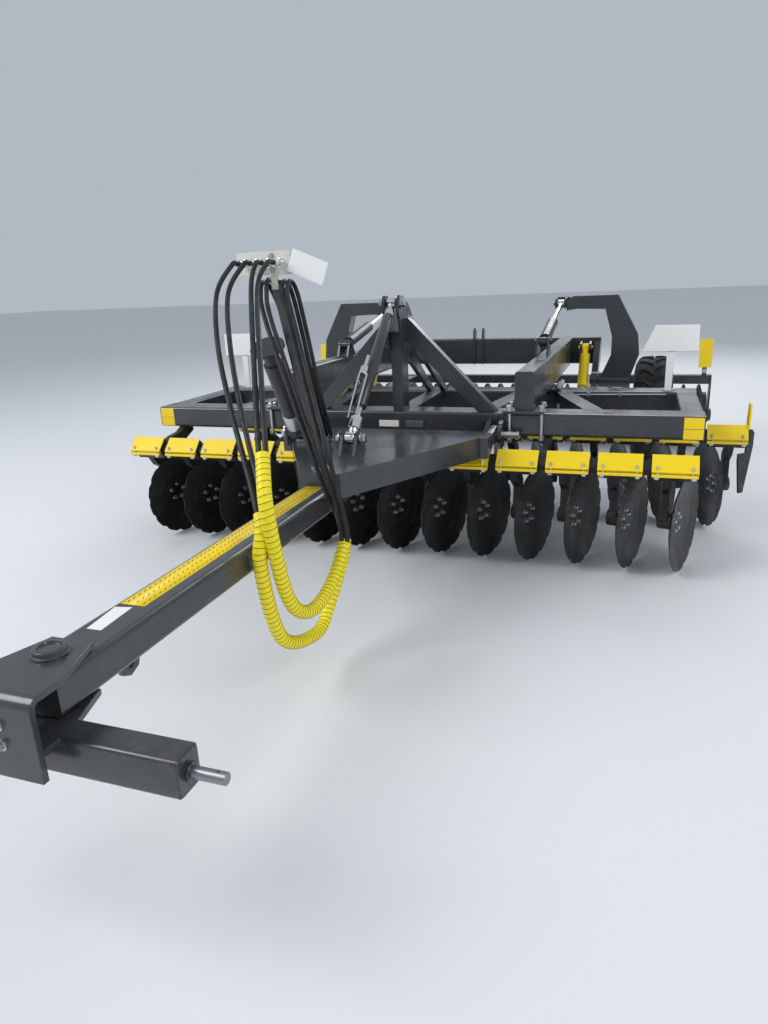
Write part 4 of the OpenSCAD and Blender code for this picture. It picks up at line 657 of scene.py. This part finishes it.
def pin_ends():
    """Flat bolt heads with washers at both ends of the turnbuckle's lower pin and of the stand's pin."""
    ends = [(0.051, *FOOT_PIN, 0.044, ACROSS), (-0.275, *STAND_PIN, 0.040, ACROSS),
            (-0.051, *FOOT_PIN, 0.044, -ACROSS), (-0.406, *STAND_PIN, 0.040, -ACROSS)]
    return joined(*[bolts([(x, y, z)], axis, size, FLAT_HEAD) for x, y, z, size, axis in ends])


STRIP = block((-0.054, -2.070, TONGUE_TOP), (0.026, -0.872, STRIP_TOP), 0.0003)
FITTINGS = [turned(FITTING_NUT, at(x, FITTING_Y, BOX_TOP), UP, 6) for x in FITTING_X]
piece("tongue_strip", STRIP, YELLOW, "drawbar")
piece("strip_ticks", copies(TICK, TICK_PLACES, UP), DARK, "drawbar")
piece("tongue_label", LABEL, WHITE, "drawbar")
piece("box_cap", turned(CAP, at(*CAP_PLACE), UP, 40), ZINC, "drawbar")
piece("drawbar_bolts", pin_ends(), ZINC, "drawbar")
piece("hose_fittings", joined(*FITTINGS), ZINC, "drawbar", 30)


# Mast: one upright leg between two head plates, slanting legs and rear braces

MAST_EYE, BRACE_BOLT = (0.205, 1.380), (0.330, 1.290)
HEAD_PLATE = [(0.176, 1.300), (0.160, 1.350), (0.163, 1.395), (0.188, 1.418), (0.235, 1.416), (0.330, 1.372),
              (0.380, 1.330), (0.440, 1.262), (0.492, 1.200), (0.420, 1.180), (0.300, 1.160), (0.240, 1.130),
              (0.205, 1.200)]
HEAD_X, HEAD_T, HEAD_FACE = 0.033, 0.014, 0.047
SIDE_LEG = [(0.040, 1.190), (0.040, 1.298), (0.062, 1.298), (0.546, 0.800), (0.440, 0.800)]
REAR_LEG = [(0.360, 1.180), (0.420, 1.240), (1.110, 0.800), (1.020, 0.800)]
SIDE_LEG_Y, SIDE_LEG_T, REAR_LEG_T = 0.266, 0.060, 0.028
MIDDLE_LEG = ((-0.030, 0.242, 0.799), (0.030, 0.350, 1.230))
EYE_PIN_HALF, EYE_PIN_R = 0.063, 0.016


def mast_shape():
    """Two head plates, the middle leg, a slanting leg and a rear brace on each side, and the eye's pin."""
    legs = joined(upright(HEAD_PLATE, HEAD_X, HEAD_T), facing(SIDE_LEG, SIDE_LEG_Y, SIDE_LEG_T),
                  upright(REAR_LEG, HEAD_X, REAR_LEG_T))
    pin = bar((-EYE_PIN_HALF, *MAST_EYE), (EYE_PIN_HALF, *MAST_EYE), EYE_PIN_R)
    return joined(both(legs), block(*MIDDLE_LEG), pin)


HEAD_BOLTS = ((MAST_EYE, 0.046, FLAT_HEAD), (BRACE_BOLT, 0.030, BOLT_HEAD))
MAST_BOLTS = [bolts([(side * HEAD_FACE, *place)], side * ACROSS, size, head)
              for side in (1, -1) for place, size, head in HEAD_BOLTS]
piece("mast_skin", mast_shape(), FRAME, "frame", hides=["mast"])
piece("mast_bolts", joined(*MAST_BOLTS), ZINC, "frame")


# Turnbuckle: chrome ends, a painted tube, and a handle of thin bar on the lower end

LINK_FOOT, LINK_HEAD = np.array([0, *FOOT_PIN]), np.array([0, *MAST_EYE])
LINK_LENGTH = float(np.linalg.norm(LINK_HEAD - LINK_FOOT))
LINK_AXIS = (LINK_HEAD - LINK_FOOT) / LINK_LENGTH
LINK_OUT = np.cross(ACROSS, LINK_AXIS)
EYE_R, EYE_WIDTH, LOWER_BORE, UPPER_BORE = 0.030, 0.046, 0.0152, 0.0172
LOWER_BODY = [(0, 0.0), (0, 0.018), (0.004, 0.022), (0.020, 0.024), (0.024, 0.030), (0.088, 0.030),
              (0.092, 0.026), (0.092, 0.012), (0.400, 0.012), (0.400, 0.0)]
UPPER_COLLAR = [(0, 0.0), (0, 0.020), (0.006, 0.023), (0.060, 0.023), (0.066, 0.020), (0.076, 0.018),
                (0.076, 0.0)]
TUBE = [(0.320, 0.0), (0.320, 0.0135), (0, 0.0135), (0, 0.026), (0.003, 0.028), (0.600, 0.028),
        (0.603, 0.026), (0.603, 0.0)]
BODY_START, TUBE_START, COLLAR_BACK = 0.026, 0.188, 0.102

# The handle's round bars: start and end as given to on_link, radius and sides
HANDLE = (((0.100, -0.036, 0.026), (0.355, -0.036, 0.046), 0.0045, 12),
          ((0.104, 0.004, 0.031), (0.355, 0.004, 0.046), 0.0045, 12),
          ((0.345, -0.016, 0.049), (0.392, -0.016, 0.049), 0.019, 20),
          ((0.385, -0.016, 0.049), (0.470, -0.016, 0.049), 0.0085, 16))


def on_link(s, x=0, out=0):
    """A place s up the turnbuckle from its lower pin, x sideways and out square to it on its upper side."""
    return LINK_FOOT + s * LINK_AXIS + out * LINK_OUT + np.array([x, 0, 0])


def link_lower():
    """Lower eye, its body with the thin spindle that runs up into the tube, and the handle."""
    eye = ring(LOWER_BORE, EYE_R, EYE_WIDTH, LINK_FOOT, ACROSS)
    body = turned(LOWER_BODY, at(*on_link(BODY_START)), LINK_AXIS)
    bars = [bar(on_link(*start), on_link(*end), radius, sides) for start, end, radius, sides in HANDLE]
    return joined(eye, body, *bars)


def link_upper():
    """Upper eye and its collar, down to the tube."""
    eye = ring(UPPER_BORE, EYE_R, EYE_WIDTH, LINK_HEAD, ACROSS)
    return joined(eye, turned(UPPER_COLLAR, at(*on_link(LINK_LENGTH - COLLAR_BACK)), LINK_AXIS))


piece("turnbuckle_lower", link_lower(), CHROME, "turnbuckle_body", hides=["turnbuckle_body"])
piece("turnbuckle_upper", link_upper(), CHROME, "turnbuckle_screw", hides=["turnbuckle_screw"])
piece("turnbuckle_tube", turned(TUBE, at(*on_link(TUBE_START)), LINK_AXIS, 36), FRAME, "turnbuckle_screw")


# Guards: studs with nuts under each fold, and the fold's yellow front strip

ROW_GAP = 0.785
GUARD_HALF, FOLD_FRONT, FOLD_BACK, FOLD_LOW, FOLD_HIGH = 0.104, 0.0135, 0.0180, 0.5450, 0.5600
STUD_X, STUD_Y, STUD_LOW, STUD_HIGH, STUD_R = 0.078, 0.0235, 0.546, 0.600, 0.0055
STUD_NUT, NUT_SPREAD = 0.018, 1.12


def guard_fixings():
    """Each guard's two upright studs with a pair of nuts under the fold, and the strip of the fold that
    faces forwards."""
    studs, nuts, folds = [], [], []
    for shift, y in ((FRONT_SHIFT, 0.0), (REAR_SHIFT, ROW_GAP)):
        for k in range(UNITS):
            x = shift + (k - 6) * PITCH
            folds.append(block((x - GUARD_HALF, y + FOLD_FRONT, FOLD_LOW),
                               (x + GUARD_HALF, y + FOLD_BACK, FOLD_HIGH), 0.001))
            for side in (-STUD_X, STUD_X):
                foot, top = (x + side, y + STUD_Y, STUD_LOW), (x + side, y + STUD_Y, STUD_HIGH)
                studs.append(bar(foot, top, STUD_R, 10))
                nuts += [foot, (x + side * NUT_SPREAD, y + STUD_Y, STUD_LOW)]
    return joined(*studs, bolts(nuts, -UP, STUD_NUT)), joined(*folds)


GUARD_STUDS, GUARD_FOLDS = guard_fixings()
piece("guard_bolts", GUARD_STUDS, ZINC, "frame")
piece("guard_folds", GUARD_FOLDS, YELLOW, "frame")


# Beams: the saddles' bolts, clamp rods with their plates, yellow strips, a thin pipe and two hose blocks

FRONT_BEAM, SECOND_BEAM, BEAM_D, BEAM_TOP = 0.235, 1.020, 0.175, 0.800
BEAMS = (FRONT_BEAM, SECOND_BEAM)
FOOT_BOLT_X, FOOT_BOLT_INSETS, FOOT_BOLT = (0.605, 0.775, -0.605, -0.775), (0.030, 0.145), 0.030
CLAMP_X, CLAMP_OFF, CLAMP_R = (0.618, 0.785, -0.618, -0.785), 0.011, 0.010
CLAMP_Y = (FRONT_BEAM - CLAMP_OFF, SECOND_BEAM - CLAMP_OFF, SECOND_BEAM + BEAM_D + CLAMP_OFF)
CLAMP_LOW, CLAMP_HIGH, CLAMP_NUT = 0.645, 0.846, 0.6
UPPER_NUT_Z, UPPER_NUT, LOWER_NUT_Z, LOWER_NUT = 0.816, 0.032, 0.668, 0.030
SADDLE_X, PLATE_HALF, PLATE_FRONT, PLATE_BACK, PLATE_TOP = 0.690, 0.107, 0.024, 0.012, 0.8155
STRIP_STARTS, STRIP_WIDE = (-1.5645, 1.4725), 0.092
STRIP_HEIGHTS = ((0.6860, 0.7365), (0.7385, 0.7945))
STRIP_FRONT, STRIP_BACK = FRONT_BEAM - 0.0008, FRONT_BEAM + 0.0002
PIPE_Y, PIPE_R = SECOND_BEAM - 0.0048, 0.0045
PIPE_START, PIPE_END = (0.780, PIPE_Y, 0.779), (1.405, PIPE_Y, 0.785)
CLIP_X, CLIP_HALF, CLIP_LOW, CLIP_HIGH = (0.964, 1.147), 0.010, 0.771, 0.793
CLIP_FRONT, CLIP_BACK = SECOND_BEAM - 0.012, SECOND_BEAM + 0.0004
BLOCK_LOW, BLOCK_HIGH, BLOCK_FRONT, BLOCK_BACK = 0.714, 0.750, FRONT_BEAM - 0.007, FRONT_BEAM + 0.0004


def bolt_rows():
    """Bolts that hold the saddles' foot plates down on both beams."""
    return bolts([(x, beam + inset, UPPER_NUT_Z) for x in FOOT_BOLT_X for beam in BEAMS
                  for inset in FOOT_BOLT_INSETS], UP, FOOT_BOLT)


def clamp_rods():
    """Clamp rods before the front beam and on both sides of the second one, with a nut above and below."""
    out = []
    for x in CLAMP_X:
        for y in CLAMP_Y:
            out += [bar((x, y, CLAMP_LOW), (x, y, CLAMP_HIGH), CLAMP_R, 14),
                    bolts([(x, y, UPPER_NUT_Z)], UP, UPPER_NUT, CLAMP_NUT),
                    bolts([(x, y, LOWER_NUT_Z)], -UP, LOWER_NUT, CLAMP_NUT)]
    return joined(*out)


def clamp_plates():
    """A plate under the upper nuts, before each saddle and on top of its beam's front edge."""
    return joined(*[block((side * SADDLE_X - PLATE_HALF, y - PLATE_FRONT, BEAM_TOP),
                          (side * SADDLE_X + PLATE_HALF, y + PLATE_BACK, PLATE_TOP))
                    for side in (-1, 1) for y in BEAMS])


def beam_strips():
    """Two blank strips, one above the other, on the front beam's face at both ends."""
    return joined(*[block((x, STRIP_FRONT, low), (x + STRIP_WIDE, STRIP_BACK, high), 0.0003)
                    for x in STRIP_STARTS for low, high in STRIP_HEIGHTS])


def beam_pipe():
    """A thin pipe before the second beam's right half, held by two clips."""
    clips = [block((x - CLIP_HALF, CLIP_FRONT, CLIP_LOW), (x + CLIP_HALF, CLIP_BACK, CLIP_HIGH))
             for x in CLIP_X]
    return joined(bar(PIPE_START, PIPE_END, PIPE_R, 12), *clips)


piece("frame_bolts", bolt_rows(), ZINC, "frame")
piece("clamp_rods", clamp_rods(), ZINC, "frame")
piece("clamp_plates", clamp_plates(), FRAME, "frame")
piece("beam_strips", beam_strips(), YELLOW, "frame")
piece("beam_pipe", beam_pipe(), ZINC, "frame")
for name, left, right, finish, slot in (("pale", -0.112, 0.003, CREAM, "cream_paint"),
                                        ("dark", 0.045, 0.145, STEEL, "zinc")):
    hose_block = block((left, BLOCK_FRONT, BLOCK_LOW), (right, BLOCK_BACK, BLOCK_HIGH))
    piece(f"hose_block_{name}", hose_block, finish, "frame")


# Marker boards: plates with one slanted edge, on posts that taper to their feet

BOARD_Y, BOARD_T, BOARD_POST_Y, BOARD_POST_T = 1.060, 0.006, 1.0662, 0.018
BOARD = [(1.255, 1.030), (1.322, 1.180), (1.560, 1.180), (1.565, 1.030)]
BOARD_POST = [(1.394, 0.800), (1.432, 0.800), (1.440, 1.170), (1.392, 1.170)]
MARKER_NUT_X, MARKER_NUT_Y, MARKER_NUT = (1.384, 1.442), 1.074, 0.018

MARKER = joined(facing(BOARD, BOARD_Y, BOARD_T), facing(BOARD_POST, BOARD_POST_Y, BOARD_POST_T))
MARKER_NUTS = bolts([(x, MARKER_NUT_Y, BEAM_TOP) for x in MARKER_NUT_X], UP, MARKER_NUT)
piece("marker_skins", both(MARKER), WHITE, "frame", hides=["marker_boards"])
piece("marker_nuts", both(MARKER_NUTS), ZINC, "frame")


# Roller frame: yellow end boards, each with a nut under it

END_X, END_HALF, END_LOW, END_HIGH = 1.770, 0.051, 0.6715, 0.9085
END_FRONT, END_LAYER, END_BACK = 3.2832, 3.2838, 3.2942
END_LEFT, END_RIGHT = END_X - END_HALF, END_X + END_HALF
END_NUT_Z, END_NUT_SIZE = 0.640, 0.030

END_BOARD = joined(block((END_LEFT, END_FRONT, END_LOW), (END_RIGHT, END_LAYER, END_HIGH), 0.0002),
                   block((END_LEFT, END_LAYER, END_LOW), (END_RIGHT, END_BACK, END_HIGH)))
END_NUT = bolts([(END_X, END_LAYER, END_NUT_Z)], -ALONG, END_NUT_SIZE)
piece("end_boards", both(END_BOARD), YELLOW, "roller_frame")
piece("end_board_nuts", both(END_NUT), ZINC, "roller_frame")


# Tyres with their tread: a carcass and slanted lugs that reach the solid's own radius

TYRE_R, TYRE_HALF, RIM_R = 0.420, 0.145, 0.200
TREAD_DEPTH, LUG_COUNT = 0.013, 22
WHEEL_X, WHEEL_Y = 1.350, 2.620
RIM_CIRCLE, RIM_FACE, RIM_NUT, RIM_ANGLES = 0.080, 0.012, 0.026, np.radians(72 * np.arange(5) + 18)


def carcass():
    """The tyre's section turned round the axle, its tread lowered by the lugs' depth, with two thin ribs
    on each wall. The half section is given by its distance from the middle and its radius."""
    low = TYRE_R - TREAD_DEPTH
    half = [(0.0, low), (TYRE_HALF - 0.080, low), (TYRE_HALF - 0.052, low - 0.006),
            (TYRE_HALF - 0.026, TYRE_R - 0.036), (TYRE_HALF - 0.012, RIM_R + 0.158),
            (TYRE_HALF - 0.009, RIM_R + 0.154), (TYRE_HALF - 0.008, RIM_R + 0.146),
            (TYRE_HALF, RIM_R + 0.092), (TYRE_HALF, RIM_R + 0.086), (TYRE_HALF - 0.010, RIM_R + 0.036),
            (TYRE_HALF - 0.007, RIM_R + 0.032), (TYRE_HALF - 0.012, RIM_R + 0.026),
            (TYRE_HALF - 0.028, RIM_R + 0.010), (TYRE_HALF - 0.050, RIM_R - 0.020)]
    profile = [(-w, r) for w, r in half[:0:-1]] + half
    return turned(profile + profile[:1], at(WHEEL_X, WHEEL_Y, TYRE_R), ACROSS, 96)


def lug(side, turn):
    """One slanted lug: a bar on the tread from near the middle, w = 6 mm, to the shoulder, w = 121 mm. Its
    middle line runs round the axle by the angle in middle as w grows, and its top follows the tread down."""
    w = np.array([0.006, 0.040, 0.068, 0.093, 0.112, 0.121])
    top = TYRE_R - np.array([0, 0, 0.001, 0.008, 0.024, 0.040])
    base = top - np.array([0.016, 0.016, 0.016, 0.018, 0.020, 0.012])
    middle = turn + np.array([0.0, 0.075, 0.130, 0.160, 0.168, 0.170])
    wide = np.array([0.034, 0.034, 0.036, 0.042, 0.048, 0.050])
    narrow = wide * 0.86
    corners = [(middle - wide, base), (middle - narrow, top), (middle + narrow, top), (middle + wide, base)]
    rows = [np.stack([side * w, r * np.sin(a), r * np.cos(a)], -1) for a, r in corners]
    points = np.stack(rows, 1).reshape(-1, 3)
    n = 4 * (len(w) - 1)
    ends = np.array([[0, 1, 2, 3], [n + 3, n + 2, n + 1, n]])
    faces = np.concatenate([grid_faces(len(w), 4, wrap_v=True), ends])
    return points, [faces if side > 0 else faces[:, ::-1]]


def tyre_shape():
    """The carcass with a lug on each side in turn, half a step apart."""
    step = 2 * np.pi / LUG_COUNT
    lugs = [lug(side, k * step + (0 if side > 0 else step / 2))
            for side in (1, -1) for k in range(LUG_COUNT)]
    points, faces = joined(*lugs)
    return joined(carcass(), (points + at(WHEEL_X, WHEEL_Y, TYRE_R), faces))


RIM_BOLTS = [(WHEEL_X + RIM_FACE, WHEEL_Y + RIM_CIRCLE * math.cos(a), TYRE_R + RIM_CIRCLE * math.sin(a))
             for a in RIM_ANGLES]
RIGHT_TYRE = tyre_shape()
RIGHT_NUTS = bolts(RIM_BOLTS, ACROSS, RIM_NUT)
piece("right_tyre_skin", RIGHT_TYRE, TYRE, "right_wheel", 32, ["right_tyre"])
piece("left_tyre_skin", mirrored(RIGHT_TYRE), TYRE, "left_wheel", 32, ["left_tyre"])
piece("right_rim_nuts", RIGHT_NUTS, ZINC, "right_wheel")
piece("left_rim_nuts", mirrored(RIGHT_NUTS), ZINC, "left_wheel")


# Hitch head: a plate bent over at its front edge, two level plates, the cross bar and the lower link pins,
# with painted shade where their linch holes are

HITCH_HALF, HITCH_FRONT, HITCH_TOP, HITCH_FOOT = 0.112, -2.566, 0.696, 0.494
HITCH_T, BEND_R, BEND_END = 0.016, 0.030, -2.534
BAR_LOW, BAR_HIGH, BAR_HALF = (-2.508, 0.474), (-2.428, 0.570), 0.4125
BAR_CORNER, BAR_EDGE, TAPER_Y, TAIL_Y, TAIL_HALF = 0.010, 0.004, -2.470, -2.310, 0.060
TOW_PIN, PIN_START, TOW_PIN_END, TOW_PIN_R = (-2.468, 0.522), BAR_HALF - 0.001, 0.5045, 0.0142
COLLAR_END, COLLAR_R = BAR_HALF + 0.010, 0.0222
LINCH_X, LINCH_LOW, LINCH_HIGH, LINCH_R = 0.484, 0.5075, 0.5365, 0.0045
HITCH_BOLT_X, HITCH_BOLT_Z, HITCH_BOLT = (0.015, -0.075), (0.577, 0.625), 0.022

# The lower plate's top stays a hair under the cross bar's top, so that they don't share a plane
LOWER_PLATE_Z = 0.5532


def rounded(low, high, radius, steps=4):
    """A rectangle between two corners, with a quarter circle at each corner."""
    a = np.linspace(0, np.pi / 2, steps + 1)
    x0, y0, x1, y1 = low[0] + radius, low[1] + radius, high[0] - radius, high[1] - radius
    out = []
    for k, (x, y) in enumerate(((x1, y1), (x0, y1), (x0, y0), (x1, y0))):
        turn = a + k * np.pi / 2
        out += zip(x + radius * np.cos(turn), y + radius * np.sin(turn))
    return out


def bent_plate():
    """The front plate whose top turns back: two quarter circles round one centre, a thickness apart."""
    a = np.linspace(np.pi / 2, np.pi, 8)
    circle = np.stack([np.cos(a), np.sin(a)], -1)
    centre = np.array([HITCH_FRONT + BEND_R, HITCH_TOP - BEND_R])
    outer, inner = centre + BEND_R * circle, centre + (BEND_R - HITCH_T) * circle
    outline = [(BEND_END, HITCH_TOP), *outer, (HITCH_FRONT, HITCH_FOOT), (HITCH_FRONT + HITCH_T, HITCH_FOOT),
               *inner[::-1], (BEND_END, HITCH_TOP - HITCH_T)]
    return upright(outline, -HITCH_HALF, 2 * HITCH_HALF)


def level_plate(z, front):
    """A level plate of the head, drawn in towards its rear edge."""
    outline = [(-HITCH_HALF, front), (HITCH_HALF, front), (HITCH_HALF, TAPER_Y), (TAIL_HALF, TAIL_Y),
               (-TAIL_HALF, TAIL_Y), (-HITCH_HALF, TAPER_Y)]
    return slab(outline, HITCH_T, at(0, 0, z), ACROSS, ALONG, 0.001)


def hitch_shape():
    """Bent plate, top plate, lower plate, and the cross bar with a collar at each end."""
    cross_bar = upright(rounded(BAR_LOW, BAR_HIGH, BAR_CORNER), -BAR_HALF, 2 * BAR_HALF, BAR_EDGE)
    collar = bar((PIN_START, *TOW_PIN), (COLLAR_END, *TOW_PIN), COLLAR_R, 28)
    return joined(bent_plate(), level_plate(HITCH_TOP - HITCH_T, -2.535),
                  level_plate(LOWER_PLATE_Z, HITCH_FRONT + HITCH_T), cross_bar, both(collar))


TOW_PINS = both(bar((PIN_START, *TOW_PIN), (TOW_PIN_END, *TOW_PIN), TOW_PIN_R, 28))
# Dark rods through each link pin near its end stand in for the linch pin holes: painted shade where the
# holes are, not bores
LINCH_HOLE_SHADE = both(bar((LINCH_X, TOW_PIN[0], LINCH_LOW), (LINCH_X, TOW_PIN[0], LINCH_HIGH), LINCH_R, 14))
HITCH_BOLTS = bolts([(x, HITCH_FRONT, z) for x in HITCH_BOLT_X for z in HITCH_BOLT_Z], -ALONG, HITCH_BOLT)
piece("hitch_skin", hitch_shape(), FRAME, "hitch", hides=["hitch_head"])
piece("link_pins", TOW_PINS, STEEL, "hitch")
piece("linch_hole_shade", LINCH_HOLE_SHADE, DARK, "hitch")
piece("hitch_bolts", HITCH_BOLTS, ZINC, "hitch")


# Pins: the dark pivot pin with its rimmed cap, and the bright hinge pins

PIVOT_Y, PIVOT_LOW, PIVOT_HIGH, PIVOT_R = -2.380, 0.544, 0.697, 0.030
HINGE = (0.172, 0.702)
PIVOT_CAP = [(0, 0.0), (0, 0.046), (0.004, 0.046), (0.006, 0.041), (0.016, 0.039), (0.018, 0.036),
             (0.018, 0.028), (0.013, 0.026), (0.013, 0.0)]


def pivot_shape():
    """The pivot pin through the head and its cap."""
    return joined(bar((0, PIVOT_Y, PIVOT_LOW), (0, PIVOT_Y, PIVOT_HIGH), PIVOT_R, 36),
                  turned(PIVOT_CAP, at(0, PIVOT_Y, HITCH_TOP), UP, 40))


def pin_shapes():
    """Hinge pins with their end rings, the turnbuckle's lower pin and the stand's pin."""
    parts = ((0.494, 0.593, 0.020), (0.590, 0.680, 0.0145), (0.668, 0.677, 0.020))
    hinge = [bar((start, *HINGE), (end, *HINGE), radius) for start, end, radius in parts]
    return joined(both(joined(*hinge)), bar((-0.056, *FOOT_PIN), (0.056, *FOOT_PIN), 0.014),
                  bar((-0.406, *STAND_PIN), (-0.276, *STAND_PIN), 0.015))


piece("pivot_pin", pivot_shape(), FRAME, "drawbar")
piece("drawbar_pin_skins", pin_shapes(), ZINC, "drawbar", hides=["drawbar_pins"])


# Parking stand: a bright collar round its tube, above its pin

STAND_X, STAND_LEAN = -0.335, math.radians(30)
STAND_AXIS = (0.0, -math.sin(STAND_LEAN), math.cos(STAND_LEAN))
COLLAR = [(0.045, 0.0450), (0.045, 0.0485), (0.050, 0.0500), (0.120, 0.0500), (0.125, 0.0485),
          (0.125, 0.0450), (0.045, 0.0450)]
piece("stand_collar", turned(COLLAR, at(STAND_X, *STAND_PIN), STAND_AXIS, 36), ZINC, "drawbar")


# Floor, world and lamps: each lamp has its place, width in metres and power in watts

FLOOR_HALF, FLOOR_COLOUR, FLOOR_ROUGHNESS = 60.0, (0.74, 0.75, 0.76, 1), 0.75
WORLD_COLOUR, WORLD_STRENGTH = (0.80, 0.88, 0.98, 1), 0.55
LAMP_AIM = np.array([0, 0, 0.6])
LAMPS = (("key", (-5.5, -5.0, 6.5), 5.0, 430), ("fill", (6.5, -4.0, 5.0), 5.0, 190),
         ("back", (1.0, 8.0, 6.5), 6.0, 300))


def make_floor():
    """A plain pale floor."""
    mesh = bpy.data.meshes.new("floor")
    h = FLOOR_HALF
    mesh.from_pydata([(-h, -h, 0), (h, -h, 0), (h, h, 0), (-h, h, 0)], [], [(0, 1, 2, 3)])
    floor = linked("floor", mesh)
    mat, tree, bsdf = shader("floor_paint")
    bsdf.inputs["Base Color"].default_value = FLOOR_COLOUR
    bsdf.inputs["Roughness"].default_value = FLOOR_ROUGHNESS
    mesh.materials.append(mat)


def make_light():
    """A pale world, three soft round lamps that look at the machine, and the plain view transform."""
    world = bpy.data.worlds.new("studio")
    bpy.context.scene.world = world
    world.use_nodes = True
    sky = world.node_tree.nodes["Background"].inputs
    sky["Color"].default_value = WORLD_COLOUR
    sky["Strength"].default_value = WORLD_STRENGTH
    for name, place, size, power in LAMPS:
        data = bpy.data.lights.new(name, "AREA")
        data.shape = "DISK"
        data.size = size
        data.energy = power
        lamp = linked(name, data)
        aim = unit(LAMP_AIM - np.array(place, float))
        lamp.matrix_world = placed((*across(-aim), -aim), place)
    bpy.context.scene.view_settings.view_transform = "Standard"


make_floor()
make_light()
